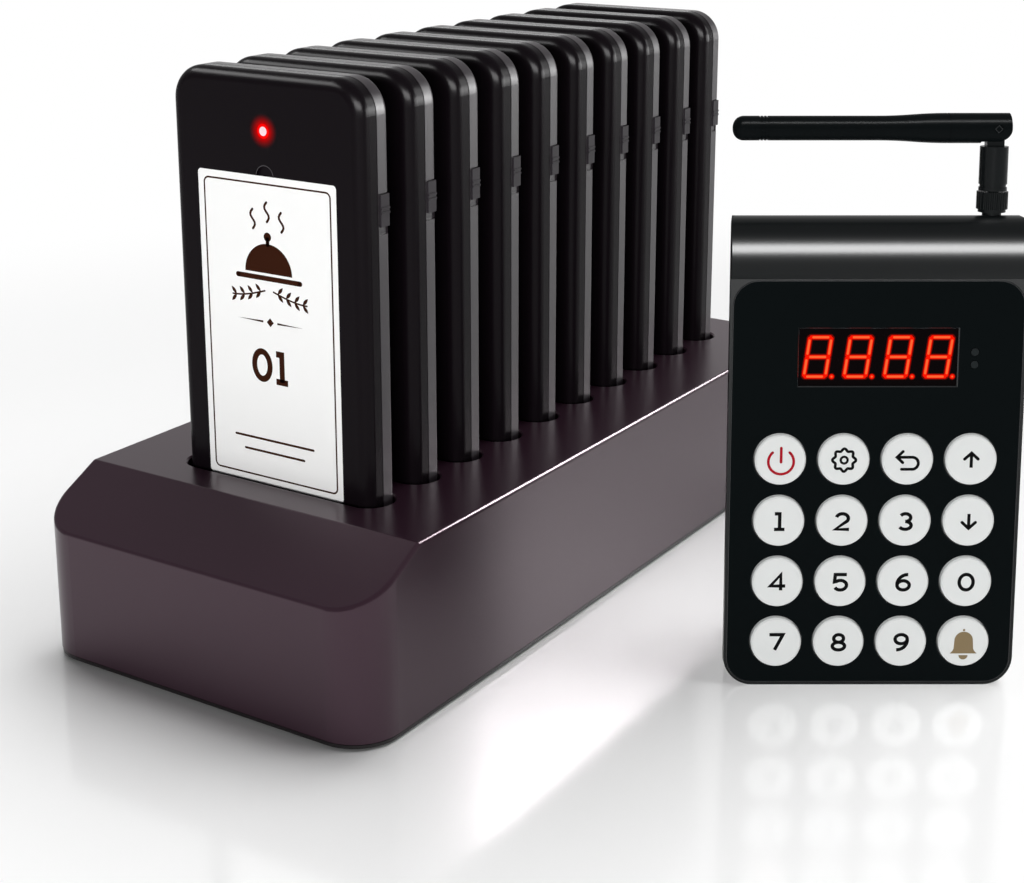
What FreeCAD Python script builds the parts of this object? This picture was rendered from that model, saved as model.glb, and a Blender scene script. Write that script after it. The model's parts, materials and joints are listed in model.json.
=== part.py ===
import FreeCAD, Part
import math
import os
import re
import Sketcher
from FreeCAD import Placement, Rotation, Vector

# Guest pager system: a charging dock with ten pagers in it, and a keypad transmitter beside it.
# +Z is up, +X runs across the dock to the keypad, and the pagers face -Y.
# The origin lies on the table, in the middle of the footprint of the whole set.

SIZES = [
    # Charging dock
    ("dock_width", 122.0),
    ("dock_height", 53.7),
    ("dock_front_height", 40.8),
    ("dock_slope_run", 24.8),
    ("dock_corner_radius", 14.0),
    ("dock_edge_radius", 1.2),
    ("dock_wall", 2.6),
    ("foot_radius", 6.0),
    ("foot_thickness", 1.6),
    ("foot_proud", 0.8),
    ("foot_inset", 21.0),
    ("plate_lip", 1.0),
    ("plate_inset", 0.2),
    ("plate_thickness", 3.2),
    ("plate_post_radius", 3.0),
    ("seam_gap", 0.3),
    ("fit_gap", 0.25),
    ("screw_radius", 1.25),
    ("screw_length", 14.0),
    ("screw_head_radius", 2.8),
    ("screw_head_height", 1.8),
    ("boss_radius", 4.0),
    ("boss_inset", 10.5),
    # Wells and charging contacts
    ("slot_side_gap", 3.0),
    ("slot_face_gap", 1.15),
    ("slot_wall", 1.6),
    ("slot_rim", 0.5),
    ("slot_pitch", 22.36),
    ("first_slot_setback", 43.7),
    ("last_slot_margin", 26.2),
    ("well_floor", 1.8),
    ("pager_sink", 26.0),
    ("seat_gap", 0.3),
    ("contact_radius", 1.0),
    ("contact_spacing", 24.0),
    ("contact_setback", 8.9),
    ("contact_gap", 0.25),
    ("dock_board_width", 62.0),
    ("board_margin", 5.0),
    ("board_thickness", 1.6),
    # Power sockets
    ("jack_width", 9.0),
    ("jack_height", 11.0),
    ("jack_depth", 13.0),
    ("jack_nose_radius", 4.0),
    ("jack_bore_radius", 2.85),
    ("jack_bore_depth", 9.5),
    ("jack_flush", 0.2),
    ("dock_jack_rise", 16.0),
    # Pagers
    ("pager_count", 10),
    ("pager_width", 68.6),
    ("pager_height", 146.7),
    ("pager_thickness", 12.1),
    ("pager_corner_radius", 10.0),
    ("pager_front_edge", 3.6),
    ("pager_back_edge", 1.6),
    ("pager_seam_depth", 6.5),
    ("pager_seam", 0.4),
    ("pager_wall", 1.5),
    ("pager_face", 2.0),
    ("lip_depth", 1.4),
    ("lip_wall", 1.0),
    ("lip_gap", 0.15),
    ("card_width", 50.2),
    ("card_base", 25.4),
    ("card_headroom", 29.3),
    ("card_corner_radius", 1.2),
    ("card_recess", 0.9),
    ("card_thickness", 0.6),
    ("thumb_radius", 3.1),
    ("lamp_drop", 16.5),
    ("lamp_radius", 1.6),
    ("lamp_gap", 0.1),
    ("switch_drop", 32.0),
    ("switch_height", 9.1),
    ("switch_width", 3.8),
    ("switch_setback", 9.4),
    ("switch_proud", 0.5),
    ("switch_recess", 0.9),
    ("switch_travel", 2.0),
    ("switch_gap", 0.3),
    ("switch_stem_height", 3.0),
    ("switch_stem_width", 1.4),
    ("switch_stem_length", 2.6),
    ("switch_block_depth", 4.0),
    ("switch_block_height", 11.0),
    ("rib_height", 0.5),
    ("rib_proud", 0.25),
    ("rib_spacing", 1.3),
    ("pager_board_width", 56.0),
    ("pager_board_headroom", 14.7),
    ("pager_board_base", 8.0),
    ("pager_board_thickness", 1.0),
    ("pager_post_radius", 2.0),
    ("pager_post_inset", 4.0),
    ("pager_cell_width", 34.0),
    ("pager_cell_height", 50.0),
    ("pager_cell_depth", 3.2),
    ("pager_cell_base", 20.0),
    ("motor_radius", 4.5),
    ("motor_depth", 2.8),
    ("motor_base", 108.0),
    ("pad_radius", 1.6),
    ("pad_thickness", 0.7),
    # Keypad housing
    ("keypad_across", 154.9),
    ("keypad_along", -21.8),
    ("keypad_turn", 32.9),
    ("keypad_lean", 5.0),
    ("keypad_width", 83.1),
    ("keypad_height", 135.3),
    ("keypad_depth", 27.2),
    ("keypad_split", 21.0),
    ("keypad_wall", 2.4),
    ("keypad_taper", 4.0),
    ("keypad_corner_radius", 8.3),
    ("keypad_top_radius", 1.8),
    ("keypad_back_radius", 5.5),
    ("keypad_edge_radius", 0.8),
    ("hump_width", 56.0),
    ("hump_depth", 40.0),
    ("hump_rise", 50.0),
    ("hump_slope", 23.7),
    ("hump_edge_radius", 3.0),
    ("roll_radius", 10.25),
    ("roll_bulge", 2.4),
    ("top_slant", 11.0),
    ("panel_rim", 0.75),
    ("panel_gap", 0.15),
    ("panel_thickness", 1.4),
    ("panel_sunk", 0.1),
    ("panel_corner_radius", 7.1),
    ("cover_face", 2.0),
    ("cover_post_radius", 2.5),
    ("cover_post_across", 33.0),
    ("cover_post_drop", 26.0),
    ("keypad_screw_margin", 8.3),
    ("front_boss_radius", 2.3),
    ("keypad_screw_drop", 11.7),
    # Keypad display, lamps, board
    ("window_width", 45.1),
    ("window_height", 17.0),
    ("window_headroom", 13.74),
    ("window_sunk", 0.8),
    ("face_shift", 0.2),
    ("indicator_radius", 1.12),
    ("indicator_across", 27.2),
    ("indicator_rise", 6.45),
    ("indicator_spacing", 3.6),
    ("keypad_board_setback", 11.0),
    ("keypad_board_margin", 6.7),
    ("keypad_board_base", 9.0),
    ("keypad_board_headroom", 18.9),
    ("key_switch_width", 6.0),
    ("key_switch_height", 3.0),
    ("keypad_cell_width", 45.0),
    ("keypad_cell_height", 30.0),
    ("keypad_cell_depth", 14.0),
    ("keypad_cell_base", 16.0),
    ("keypad_jack_inset", 3.2),
    ("keypad_jack_setback", 16.4),
    ("keypad_jack_drop", 34.3),
    ("keypad_jack_nose_radius", 3.6),
    ("keypad_jack_thickness", 7.6),
    # Keys
    ("key_gap", 0.3),
    ("key_proud", 1.3),
    ("key_bevel", 0.4),
    ("key_flange", 1.0),
    ("key_stem_radius", 2.0),
    ("key_travel", 0.8),
    ("key_side_margin", 14.65),
    ("key_spacing", 3.53),
    ("key_flange_lip", 0.7),
    ("key_headroom", 20.7),
    ("key_row_base", 13.21),
    # Antenna
    ("antenna_margin", 8.9),
    ("antenna_setback", 9.7),
    ("antenna_seat_depth", 0.8),
    ("collar_radius", 2.65),
    ("collar_height", 0.84),
    ("washer_radius", 3.84),
    ("washer_height", 0.87),
    ("bush_radius", 2.4),
    ("bush_hole_gap", 0.15),
    ("bush_depth", 7.0),
    ("bush_flange_radius", 3.6),
    ("bush_flange_thickness", 1.2),
    ("bush_flange_drop", 1.1),
    ("nut_radius", 4.35),
    ("nut_height", 4.93),
    ("nut_flutes", 24),
    ("flute_radius", 0.38),
    ("spigot_radius", 1.3),
    ("spigot_length", 4.0),
    ("running_gap", 0.05),
    ("barrel_radius", 3.93),
    ("barrel_height", 12.34),
    ("barrel_rings", 1.8),
    ("ring_groove", 0.3),
    ("tongue_width", 4.85),
    ("tongue_thickness", 3.0),
    ("hinge_rise", 5.08),
    ("hinge_gap", 0.4),
    ("pin_radius", 1.2),
    ("pin_inset", 0.25),
    ("arm_radius", 4.22),
    ("arm_tip_radius", 3.45),
    ("arm_overhang", 3.8),
    ("arm_thick_run", 13.6),
    ("arm_curve_run", 19.2),
    ("arm_flat_run", 4.2),
    ("arm_flat_depth", 0.55),
    ("arm_length", 73.3),
    ("arm_tip_rounding", 3.0),
    ("arm_groove_depth", 0.3),
    ("arm_groove_width", 0.5),
    ("arm_groove_pitch", 0.97),
    ("arm_groove_run", 63.5),
    ("arm_seam_width", 0.4),
    ("arm_seam_depth", 0.15),
    # Cutting tools run past the faces that they cut by this much
    ("overrun", 2.0),
]

# Places within the set, worked out below from the finished pieces
ORIGIN = [("origin_across", 0.0), ("origin_along", 0.0)]

# Measures that follow from the sizes
DERIVED = {
    "slot_length": "pager_width + slot_side_gap * 2",
    "slot_width": "pager_thickness + slot_face_gap * 2",
    "dock_length": "first_slot_setback + slot_pitch * (pager_count - 1) + last_slot_margin",
    "row_middle": "first_slot_setback + slot_pitch * (pager_count - 1) / 2 - dock_length / 2",
    "row_length": "slot_pitch * (pager_count - 1) + slot_width",
    "floor_top": "dock_height - pager_sink - seat_gap",
    "rim_bottom": "foot_proud + plate_lip + seam_gap",
    "plate_top": "foot_proud + plate_thickness",
    "dock_board_bottom": "floor_top - well_floor - board_thickness",
    "card_height": "pager_height - card_base - card_headroom",
    "lamp_rise": "pager_height - lamp_drop",
    "switch_top": "pager_height - switch_drop",
    "pager_board_height": "pager_height - pager_board_base - pager_board_headroom",
    "rear_start": "pager_seam_depth + pager_seam",
    "rear_inside": "pager_thickness - pager_wall",
    "pager_board_front": "pager_seam_depth - lip_depth",
    "base_slant": "tan(keypad_lean)",
    "floor_slack": "keypad_wall / cos(keypad_lean)",
    "roll_middle": "keypad_height - roll_radius",
    "crease": "roll_middle - sqrt(roll_radius ^ 2 - (roll_radius - roll_bulge) ^ 2)",
    "cover_post_rise": "keypad_height - cover_post_drop",
    "crown": "roll_radius - roll_bulge",
    "top_front": "crown + roll_radius * sin(top_slant)",
    "top_back": "keypad_depth - keypad_back_radius",
    "top_high": "roll_middle + roll_radius * cos(top_slant)",
    "top_low": "top_high - (top_back - top_front) * tan(top_slant)",
    "roof_radius": "roll_radius - keypad_wall",
    "roof_slanted": "crown + roof_radius * sin(top_slant)",
    "roof_high": "roll_middle + roof_radius * cos(top_slant)",
    "roof_low": "roof_high - (top_back - roof_slanted) * tan(top_slant)",
    "cover_inside": "panel_thickness + panel_sunk + cover_face",
    "roof_front": "roll_middle + sqrt(roof_radius ^ 2 - (crown - cover_inside) ^ 2)",
    "rear_wall": "keypad_depth - keypad_wall",
    "rear_front": "keypad_split + seam_gap",
    "keypad_screw_across": "keypad_width / 2 - keypad_screw_margin",
    "keypad_screw_low": "key_row_base + key_pitch_up / 2",
    "keypad_screw_high": "keypad_height - keypad_screw_drop",
    "keypad_board_height": "keypad_height - keypad_board_base - keypad_board_headroom",
    "keypad_jack_end": "keypad_width / 2 - keypad_jack_inset",
    "keypad_jack_rise": "keypad_height - keypad_jack_drop",
    "keypad_board_width": "keypad_width - keypad_board_margin * 2",
    "window_base": "crease - window_headroom - window_height",
    "indicator_low": "window_base + indicator_rise",
    "key_pitch_across": "(keypad_width - key_side_margin * 2) / 3",
    "key_pitch_up": "(window_base - key_row_base - key_headroom) / 3",
    "key_radius": "(min(key_pitch_across; key_pitch_up) - key_spacing) / 2",
    "key_flange_radius": "key_radius + key_flange_lip",
    "antenna_across": "keypad_width / 2 - antenna_margin",
    "washer_bottom": "keypad_height + collar_height",
    "washer_top": "washer_bottom + washer_height",
    "nut_top": "washer_top + nut_height",
    "barrel_bottom": "nut_top + seam_gap",
    "barrel_top": "barrel_bottom + barrel_height",
    "hinge": "barrel_top + hinge_rise",
    "arm_growth": "arm_radius - arm_tip_radius",
    "arm_curve_bend": "(arm_curve_run ^ 2 + arm_growth ^ 2) / arm_growth / 4",
}

KEYS = [
    ["power", "settings", "return", "up"],
    ["1", "2", "3", "down"],
    ["4", "5", "6", "0"],
    ["7", "8", "9", "call"],
]

doc = FreeCAD.newDocument("GuestPagerSystem")
sheet = doc.addObject("Spreadsheet::Sheet", "Sizes")
for row, (size_name, size) in enumerate(SIZES + ORIGIN, start=1):
    sheet.set("A%d" % row, size_name)
    sheet.set("B%d" % row, str(size))
    sheet.setAlias("B%d" % row, size_name)
doc.recompute()

SIZE_NAMES = {size_name for size_name, size in SIZES + ORIGIN}
NODES = {}


def linked(total):
    """A sum of sizes, with derived measures written out and each size's name pointed at the sheet."""
    return re.sub(r"[a-z][a-z_]+", lambda word: name_in_sheet(word.group()), total)


def name_in_sheet(word):
    if word in DERIVED:
        return "(" + linked(DERIVED[word]) + ")"
    return "Sizes." + word if word in SIZE_NAMES else word


def value(total):
    """The number that a sum of sizes comes to."""
    return float(doc.getObject("Sizes").evalExpression(linked(total).replace("Sizes.", "")))


def bind(item, **totals):
    """Bind properties of an object to sums of sizes."""
    for prop, total in totals.items():
        item.setExpression(prop, linked(total))


def place(item, at):
    """Bind the object's position to three sums of sizes."""
    for letter, total in zip("xyz", at):
        if total != "0":
            item.setExpression(".Placement.Base." + letter, linked(total))


# Primitives and booleans


def block(name, low, size):
    """A box from its low corner."""
    item = doc.addObject("Part::Box", name)
    bind(item, Length=size[0], Width=size[1], Height=size[2])
    place(item, low)
    return item


TURNS = {
    "x": Rotation(Vector(0, 1, 0), 90),
    "y": Rotation(Vector(1, 0, 0), -90),
    "z": Rotation(),
}


def rod(name, start, radius, length, axis="z"):
    """A cylinder that runs from its start along an axis."""
    item = doc.addObject("Part::Cylinder", name)
    item.Placement = Placement(Vector(), TURNS[axis])
    bind(item, Radius=radius, Height=length)
    place(item, start)
    return item


def group(name, pieces, at=("0", "0", "0")):
    """Separate solids that share one object, moved together."""
    item = doc.addObject("Part::Compound", name)
    item.Links = pieces
    place(item, at)
    return item


def fuse(name, pieces):
    item = doc.addObject("Part::MultiFuse", name)
    item.Shapes = pieces
    return item


def common(name, pieces):
    item = doc.addObject("Part::MultiCommon", name)
    item.Shapes = pieces
    return item


def cut(name, base, tools):
    """The base with every tool taken out of it."""
    item = doc.addObject("Part::Cut", name)
    item.Base = base
    item.Tool = tools[0] if len(tools) == 1 else group(name + "_tools", tools)
    return item


# Bodies, sketches and features


def new_body(name, base=None):
    body = doc.addObject("PartDesign::Body", name)
    if base is not None:
        body.BaseFeature = base
    return body


def new_sketch(body, role, offset):
    plane = [item for item in body.Origin.OriginFeatures if item.Role == role][0]
    sketch = body.newObject("Sketcher::SketchObject", body.Name + "_sketch")
    sketch.AttachmentSupport = [(plane, "")]
    sketch.MapMode = "FlatFace"
    if offset != "0":
        sketch.setExpression(".AttachmentOffset.Base.z", linked(offset))
    return sketch


def fix(sketch, kind, targets, total):
    """Add a dimension to a sketch and bind it to a sum of sizes."""
    index = sketch.addConstraint(Sketcher.Constraint(kind, *targets, value(total)))
    sketch.setExpression("Constraints[%d]" % index, linked(total))


def arc_between(start, end, radius, hollow):
    """An arc that bulges to the right of the way from start to end, or to the left if it is hollow."""
    chord = end - start
    middle = (start + end) * 0.5
    inward = Vector(-chord.y, chord.x, 0).normalize() * (-1 if hollow else 1)
    rise = math.sqrt(max(radius ** 2 - (chord.Length * 0.5) ** 2, 0))
    crown = middle + inward * (rise - radius)
    return Part.Arc(start, crown, end)


def draw_outline(body, role, corners, offset="0"):
    """A closed outline, anticlockwise. A corner's third sum is the radius of the arc that leaves it.

    A fourth item, "hollow", makes the arc bulge inwards.
    """
    sketch = new_sketch(body, role, offset)
    points = [Vector(value(corner[0]), value(corner[1]), 0) for corner in corners]
    count = len(corners)
    for index, corner in enumerate(corners):
        start, end = points[index], points[(index + 1) % count]
        if len(corner) > 2:
            sketch.addGeometry(arc_between(start, end, value(corner[2]), len(corner) == 4), False)
        else:
            sketch.addGeometry(Part.LineSegment(start, end), False)
    # The sketcher counts an arc's ends anticlockwise, so a hollow arc leaves from its second end
    leaving = [2 if len(corner) == 4 else 1 for corner in corners]
    for index, corner in enumerate(corners):
        following = (index + 1) % count
        ends = (index, 3 - leaving[index], following, leaving[following])
        sketch.addConstraint(Sketcher.Constraint("Coincident", *ends))
        fix(sketch, "DistanceX", (index, leaving[index]), corner[0])
        fix(sketch, "DistanceY", (index, leaving[index]), corner[1])
        if len(corner) > 2:
            fix(sketch, "Radius", (index,), corner[2])
    return sketch


def rectangle(low_x, low_y, high_x, high_y):
    """The four corners of a rectangle, anticlockwise."""
    return [(low_x, low_y), (high_x, low_y), (high_x, high_y), (low_x, high_y)]


def draw_slot(body, half_run, middle, radius, offset="0"):
    """An outline of two straight sides and two half-round ends, along X on the horizontal plane."""
    sketch = new_sketch(body, "XY_Plane", offset)
    run, rise, bend = value(half_run), value(middle), value(radius)
    quarter = math.pi / 2
    upward = Vector(0, 0, 1)
    right = Part.ArcOfCircle(Part.Circle(Vector(run, rise, 0), upward, bend), -quarter, quarter)
    left = Part.ArcOfCircle(Part.Circle(Vector(-run, rise, 0), upward, bend), quarter, 3 * quarter)
    sketch.addGeometry(right, False)
    sketch.addGeometry(Part.LineSegment(Vector(run, rise + bend, 0), Vector(-run, rise + bend, 0)), False)
    sketch.addGeometry(left, False)
    sketch.addGeometry(Part.LineSegment(Vector(-run, rise - bend, 0), Vector(run, rise - bend, 0)), False)
    for index in range(4):
        sketch.addConstraint(Sketcher.Constraint("Tangent", index, 2, (index + 1) % 4, 1))
    for index, total in ((0, half_run), (2, "-(" + half_run + ")")):
        fix(sketch, "DistanceX", (index, 3), total)
        fix(sketch, "DistanceY", (index, 3), middle)
        fix(sketch, "Radius", (index,), radius)
    return sketch


def draw_circle(body, role, across, up, radius, offset="0"):
    sketch = new_sketch(body, role, offset)
    centre = Vector(value(across), value(up), 0)
    sketch.addGeometry(Part.Circle(centre, Vector(0, 0, 1), value(radius)), False)
    fix(sketch, "DistanceX", (0, 3), across)
    fix(sketch, "DistanceY", (0, 3), up)
    fix(sketch, "Radius", (0,), radius)
    return sketch


def pad(body, sketch, length, backwards=False, both_ways=False, taper=None):
    feature = body.newObject("PartDesign::Pad", body.Name + "_pad")
    feature.Profile = sketch
    bind(feature, Length=length)
    feature.Reversed = backwards
    feature.Midplane = both_ways
    if taper is not None:
        bind(feature, TaperAngle=taper)
    doc.recompute()
    return feature


def pocket(body, sketch, length, backwards=False, both_ways=False):
    """A pocket, which has to take something away."""
    before = body.Shape.Volume
    feature = body.newObject("PartDesign::Pocket", body.Name + "_pocket")
    feature.Profile = sketch
    bind(feature, Length=length)
    feature.Reversed = backwards
    feature.Midplane = both_ways
    doc.recompute()
    if not body.Shape.Volume < before:
        raise RuntimeError(body.Name + ": a pocket takes nothing away")
    return feature


def round_edges(body, radius, picked):
    """Fillet the edges of the body that the test picks."""
    doc.recompute()
    tip = body.Tip
    edges = ["Edge%d" % number for number, edge in enumerate(tip.Shape.Edges, start=1) if picked(edge)]
    feature = body.newObject("PartDesign::Fillet", body.Name + "_fillet")
    feature.Base = (tip, edges)
    bind(feature, Radius=radius)
    doc.recompute()
    return feature


def runs_along(edge, axis):
    """True for a straight edge along the axis."""
    if edge.Curve.TypeId != "Part::GeomLine":
        return False
    return abs(abs(edge.tangentAt(edge.FirstParameter).dot(axis)) - 1) < 1e-6


def in_plane(edge, letter, total):
    """True for an edge that lies in the plane where a coordinate equals a sum of sizes."""
    low = getattr(edge.BoundBox, letter + "Min")
    high = getattr(edge.BoundBox, letter + "Max")
    level = value(total)
    return abs(low - level) < 1e-4 and abs(high - level) < 1e-4


Y_AXIS, Z_AXIS = Vector(0, 1, 0), Vector(0, 0, 1)


# Nodes


def dock_node(name, pieces):
    """A node of the dock, whose pieces are built about the dock's middle."""
    item = group(name, pieces, ("-origin_across", "-origin_along", "0"))
    item.Label = name
    NODES[name] = item
    return item


def pager_middle(index):
    """Distance of a pager's middle from the dock's middle, front to back."""
    return "-dock_length / 2 + first_slot_setback + slot_pitch * %d" % index


def pager_node(name, pieces, index):
    """A node of one pager, whose pieces are built with the pager's front at Y zero."""
    along = pager_middle(index) + " - pager_thickness / 2 - origin_along"
    item = group(name, pieces, ("-origin_across", along, "dock_height - pager_sink"))
    item.Label = name
    NODES[name] = item
    return item


def keypad_node(name, pieces):
    """A node of the keypad, whose pieces are built upright with the face at Y zero."""
    item = group(name, pieces)
    item.Label = name
    spot = "vector(keypad_across - origin_across; keypad_along - origin_along; 0)"
    turned = "rotation(keypad_turn; 0; -keypad_lean)"
    item.setExpression("Placement", linked("placement(%s; %s)" % (spot, turned)))
    NODES[name] = item
    return item


# Charging dock


def dock_block(name, inset, bottom, top, run):
    """The dock's block with its rounded corners and sloped front, drawn in by an inset."""
    body = new_body(name)
    half_width = "dock_width / 2 - " + inset
    half_length = "dock_length / 2 - " + inset
    outline = rectangle("-(%s)" % half_width, "-(%s)" % half_length, half_width, half_length)
    pad(body, draw_outline(body, "XY_Plane", outline, bottom), "%s - (%s)" % (top, bottom))
    round_edges(body, "dock_corner_radius - " + inset, lambda edge: runs_along(edge, Z_AXIS))
    slope = "(dock_height - dock_front_height) / dock_slope_run"
    front = "-(%s)" % half_length
    corners = [
        (front + " - overrun", "%s - (%s + overrun) * %s" % (top, run, slope)),
        ("%s + %s + overrun" % (front, run), "%s + overrun * %s" % (top, slope)),
        (front + " - overrun", "%s + overrun * %s" % (top, slope)),
    ]
    pocket(body, draw_outline(body, "YZ_Plane", corners), "dock_width + overrun * 2", both_ways=True)
    return body


def slot_row(name, half_run, radius, bottom, height, flare):
    """A row of stadium blocks, one at each well. A flare opens a slot's rim."""
    body = new_body(name)
    middle = pager_middle(0)
    first = pad(body, draw_slot(body, half_run, middle, radius, bottom), height)
    features = [first]
    if flare:
        rim = draw_slot(body, half_run, middle, radius, "dock_height - slot_rim")
        features.append(pad(body, rim, "slot_rim + overrun", taper="45"))
    row = body.newObject("PartDesign::LinearPattern", name + "_row")
    row.Originals = features
    row.Direction = ([item for item in body.Origin.OriginFeatures if item.Role == "Y_Axis"][0], [""])
    bind(row, Length="slot_pitch * (pager_count - 1)", Occurrences="pager_count")
    body.Tip = row
    doc.recompute()
    return body


def boss_places():
    """Where the six screws of the bottom plate are."""
    side = "(dock_width / 2 - boss_inset)"
    end = "(dock_length / 2 - boss_inset)"
    return [(sign_x + side, place_y) for sign_x in ("-", "") for place_y in ("-" + end, "0", end)]



def contact_places():
    """Where the charging contacts stand, two to a pager."""
    setback = " + contact_setback - pager_thickness / 2"
    count = int(value("pager_count"))
    return [(side + "contact_spacing / 2", pager_middle(index) + setback)
            for index in range(count) for side in ("-", "")]


def make_dock_housing():
    slope_angle = "atan((dock_height - dock_front_height) / dock_slope_run)"
    outer = dock_block("dock_outside", "0", "rim_bottom", "dock_height", "dock_slope_run")
    level = value("dock_front_height")
    round_edges(outer, "dock_edge_radius", lambda edge: edge.BoundBox.ZMin > level - 1e-4)
    # The slope's wall is as thick as the others when it starts this much further forward
    inner_run = "(dock_slope_run - dock_wall + dock_wall * tan(%s / 2))" % slope_angle
    cavity = dock_block("dock_cavity", "dock_wall", "rim_bottom - overrun",
                        "(dock_height - dock_wall)", inner_run)
    shell = cut("dock_shell", outer, [cavity])
    half_run = "slot_length / 2 - slot_width / 2"
    wells = slot_row("dock_wells", half_run, "slot_width / 2 + slot_wall", "floor_top - well_floor",
                     "pager_sink + seat_gap + well_floor - dock_wall / 2", False)
    bosses = [rod("dock_boss", (x, y, "plate_top + fit_gap"), "boss_radius",
                  "dock_height - plate_top") for x, y in boss_places()]
    inside = common("dock_inside", [fuse("dock_supports", [wells] + bosses), outer])
    slots = slot_row("dock_slots", half_run, "slot_width / 2", "floor_top",
                     "pager_sink + seat_gap + overrun", True)
    holes = [rod("contact_hole", (x, y, "floor_top - well_floor - overrun"), "contact_radius + seat_gap",
                 "well_floor + overrun * 2") for x, y in contact_places()]
    holes += [rod("boss_hole", (x, y, "0"), "screw_radius + running_gap", "screw_length + foot_proud")
              for x, y in boss_places()]
    rear_hole = rod("dock_jack_hole", ("0", "dock_length / 2 - dock_wall - overrun", "dock_jack_rise"),
                    "jack_nose_radius + fit_gap", "dock_wall + overrun * 2", "y")
    walls = fuse("dock_walls", [shell, inside])
    housing = cut("dock_housing_solid", walls, [slots] + holes + [rear_hole])
    dock_node("dock_housing", [housing])


def make_dock_bottom_plate():
    body = new_body("bottom_plate")
    half_width = "dock_width / 2 - plate_inset"
    half_length = "dock_length / 2 - plate_inset"
    outline = rectangle("-(%s)" % half_width, "-(%s)" % half_length, half_width, half_length)
    pad(body, draw_outline(body, "XY_Plane", outline, "foot_proud"), "plate_lip")
    round_edges(body, "dock_corner_radius - plate_inset", lambda edge: runs_along(edge, Z_AXIS))
    plug = new_body("plate_plug")
    half_width = "dock_width / 2 - dock_wall - fit_gap"
    half_length = "dock_length / 2 - dock_wall - fit_gap"
    outline = rectangle("-(%s)" % half_width, "-(%s)" % half_length, half_width, half_length)
    pad(plug, draw_outline(plug, "XY_Plane", outline, "foot_proud"), "plate_thickness")
    round_edges(plug, "dock_corner_radius - dock_wall - fit_gap", lambda edge: runs_along(edge, Z_AXIS))
    posts = [rod("plate_post", (side + "(dock_board_width / 2 - board_margin)",
                                "row_middle" + sign + "(row_length - slot_width) / 2", "foot_proud"),
                 "plate_post_radius", "dock_board_bottom - foot_proud")
             for side in ("-", "") for sign in (" - ", " + ")]
    whole = fuse("plate_whole", [body, plug] + posts)
    tools = [rod("foot_pocket", (x, y, "0"), "foot_radius + running_gap", "foot_thickness")
             for x, y in foot_places()]
    tools += [rod("head_pocket", (x, y, "0"), "screw_head_radius + fit_gap",
                  "foot_proud + screw_head_height") for x, y in boss_places()]
    tools += [rod("plate_hole", (x, y, "0"), "screw_radius + fit_gap", "plate_top + overrun")
              for x, y in boss_places()]
    dock_node("dock_bottom_plate", [cut("plate_solid", whole, tools)])


def foot_places():
    side = "(dock_width / 2 - foot_inset)"
    end = "(dock_length / 2 - foot_inset)"
    return [(sign_x + side, sign_y + end) for sign_x in ("-", "") for sign_y in ("-", "")]


def make_dock_feet():
    feet = [rod("foot", (x, y, "0"), "foot_radius", "foot_thickness") for x, y in foot_places()]
    dock_node("dock_feet", feet)


def make_dock_screws():
    screws = []
    for x, y in boss_places():
        head = rod("screw_head", (x, y, "foot_proud"), "screw_head_radius", "screw_head_height")
        shank = rod("screw_shank", (x, y, "foot_proud"), "screw_radius", "screw_length")
        screws.append(fuse("dock_screw", [head, shank]))
    dock_node("dock_screws", screws)


def make_dock_contact_board():
    board = block("contact_board", ("-dock_board_width / 2", "row_middle - row_length / 2 - board_margin",
                                    "dock_board_bottom"),
                  ("dock_board_width", "row_length + board_margin * 2", "board_thickness"))
    reach = "well_floor + seat_gap + pager_wall - pad_thickness - contact_gap"
    contacts = [rod("contact", (x, y, "floor_top - well_floor"), "contact_radius", reach)
                for x, y in contact_places()]
    dock_node("dock_contact_board", [board] + contacts)


def make_dock_power_socket():
    wall_face = "dock_length / 2 - dock_wall"
    case = block("jack_case",
                 ("-jack_width / 2", wall_face + " - jack_depth", "dock_jack_rise - jack_height / 2"),
                 ("jack_width", "jack_depth", "jack_height"))
    nose = rod("jack_nose", ("0", wall_face + " - jack_flush", "dock_jack_rise"), "jack_nose_radius",
               "dock_wall", "y")
    bore = rod("jack_bore", ("0", "dock_length / 2 - jack_flush - jack_bore_depth", "dock_jack_rise"),
               "jack_bore_radius", "jack_bore_depth + overrun", "y")
    dock_node("dock_power_socket", [cut("jack_solid", fuse("jack_whole", [case, nose]), [bore])])


# Pagers


def pager_outline(body, inset, depth, offset):
    """A slab of the pager's front view, drawn in by an inset, with its corners rounded."""
    half = "pager_width / 2 - " + inset
    outline = rectangle("-(%s)" % half, inset, half, "pager_height - " + inset)
    pad(body, draw_outline(body, "XZ_Plane", outline, "-(%s)" % offset), depth, backwards=True)
    round_edges(body, "pager_corner_radius - " + inset, lambda edge: runs_along(edge, Y_AXIS))


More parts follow.
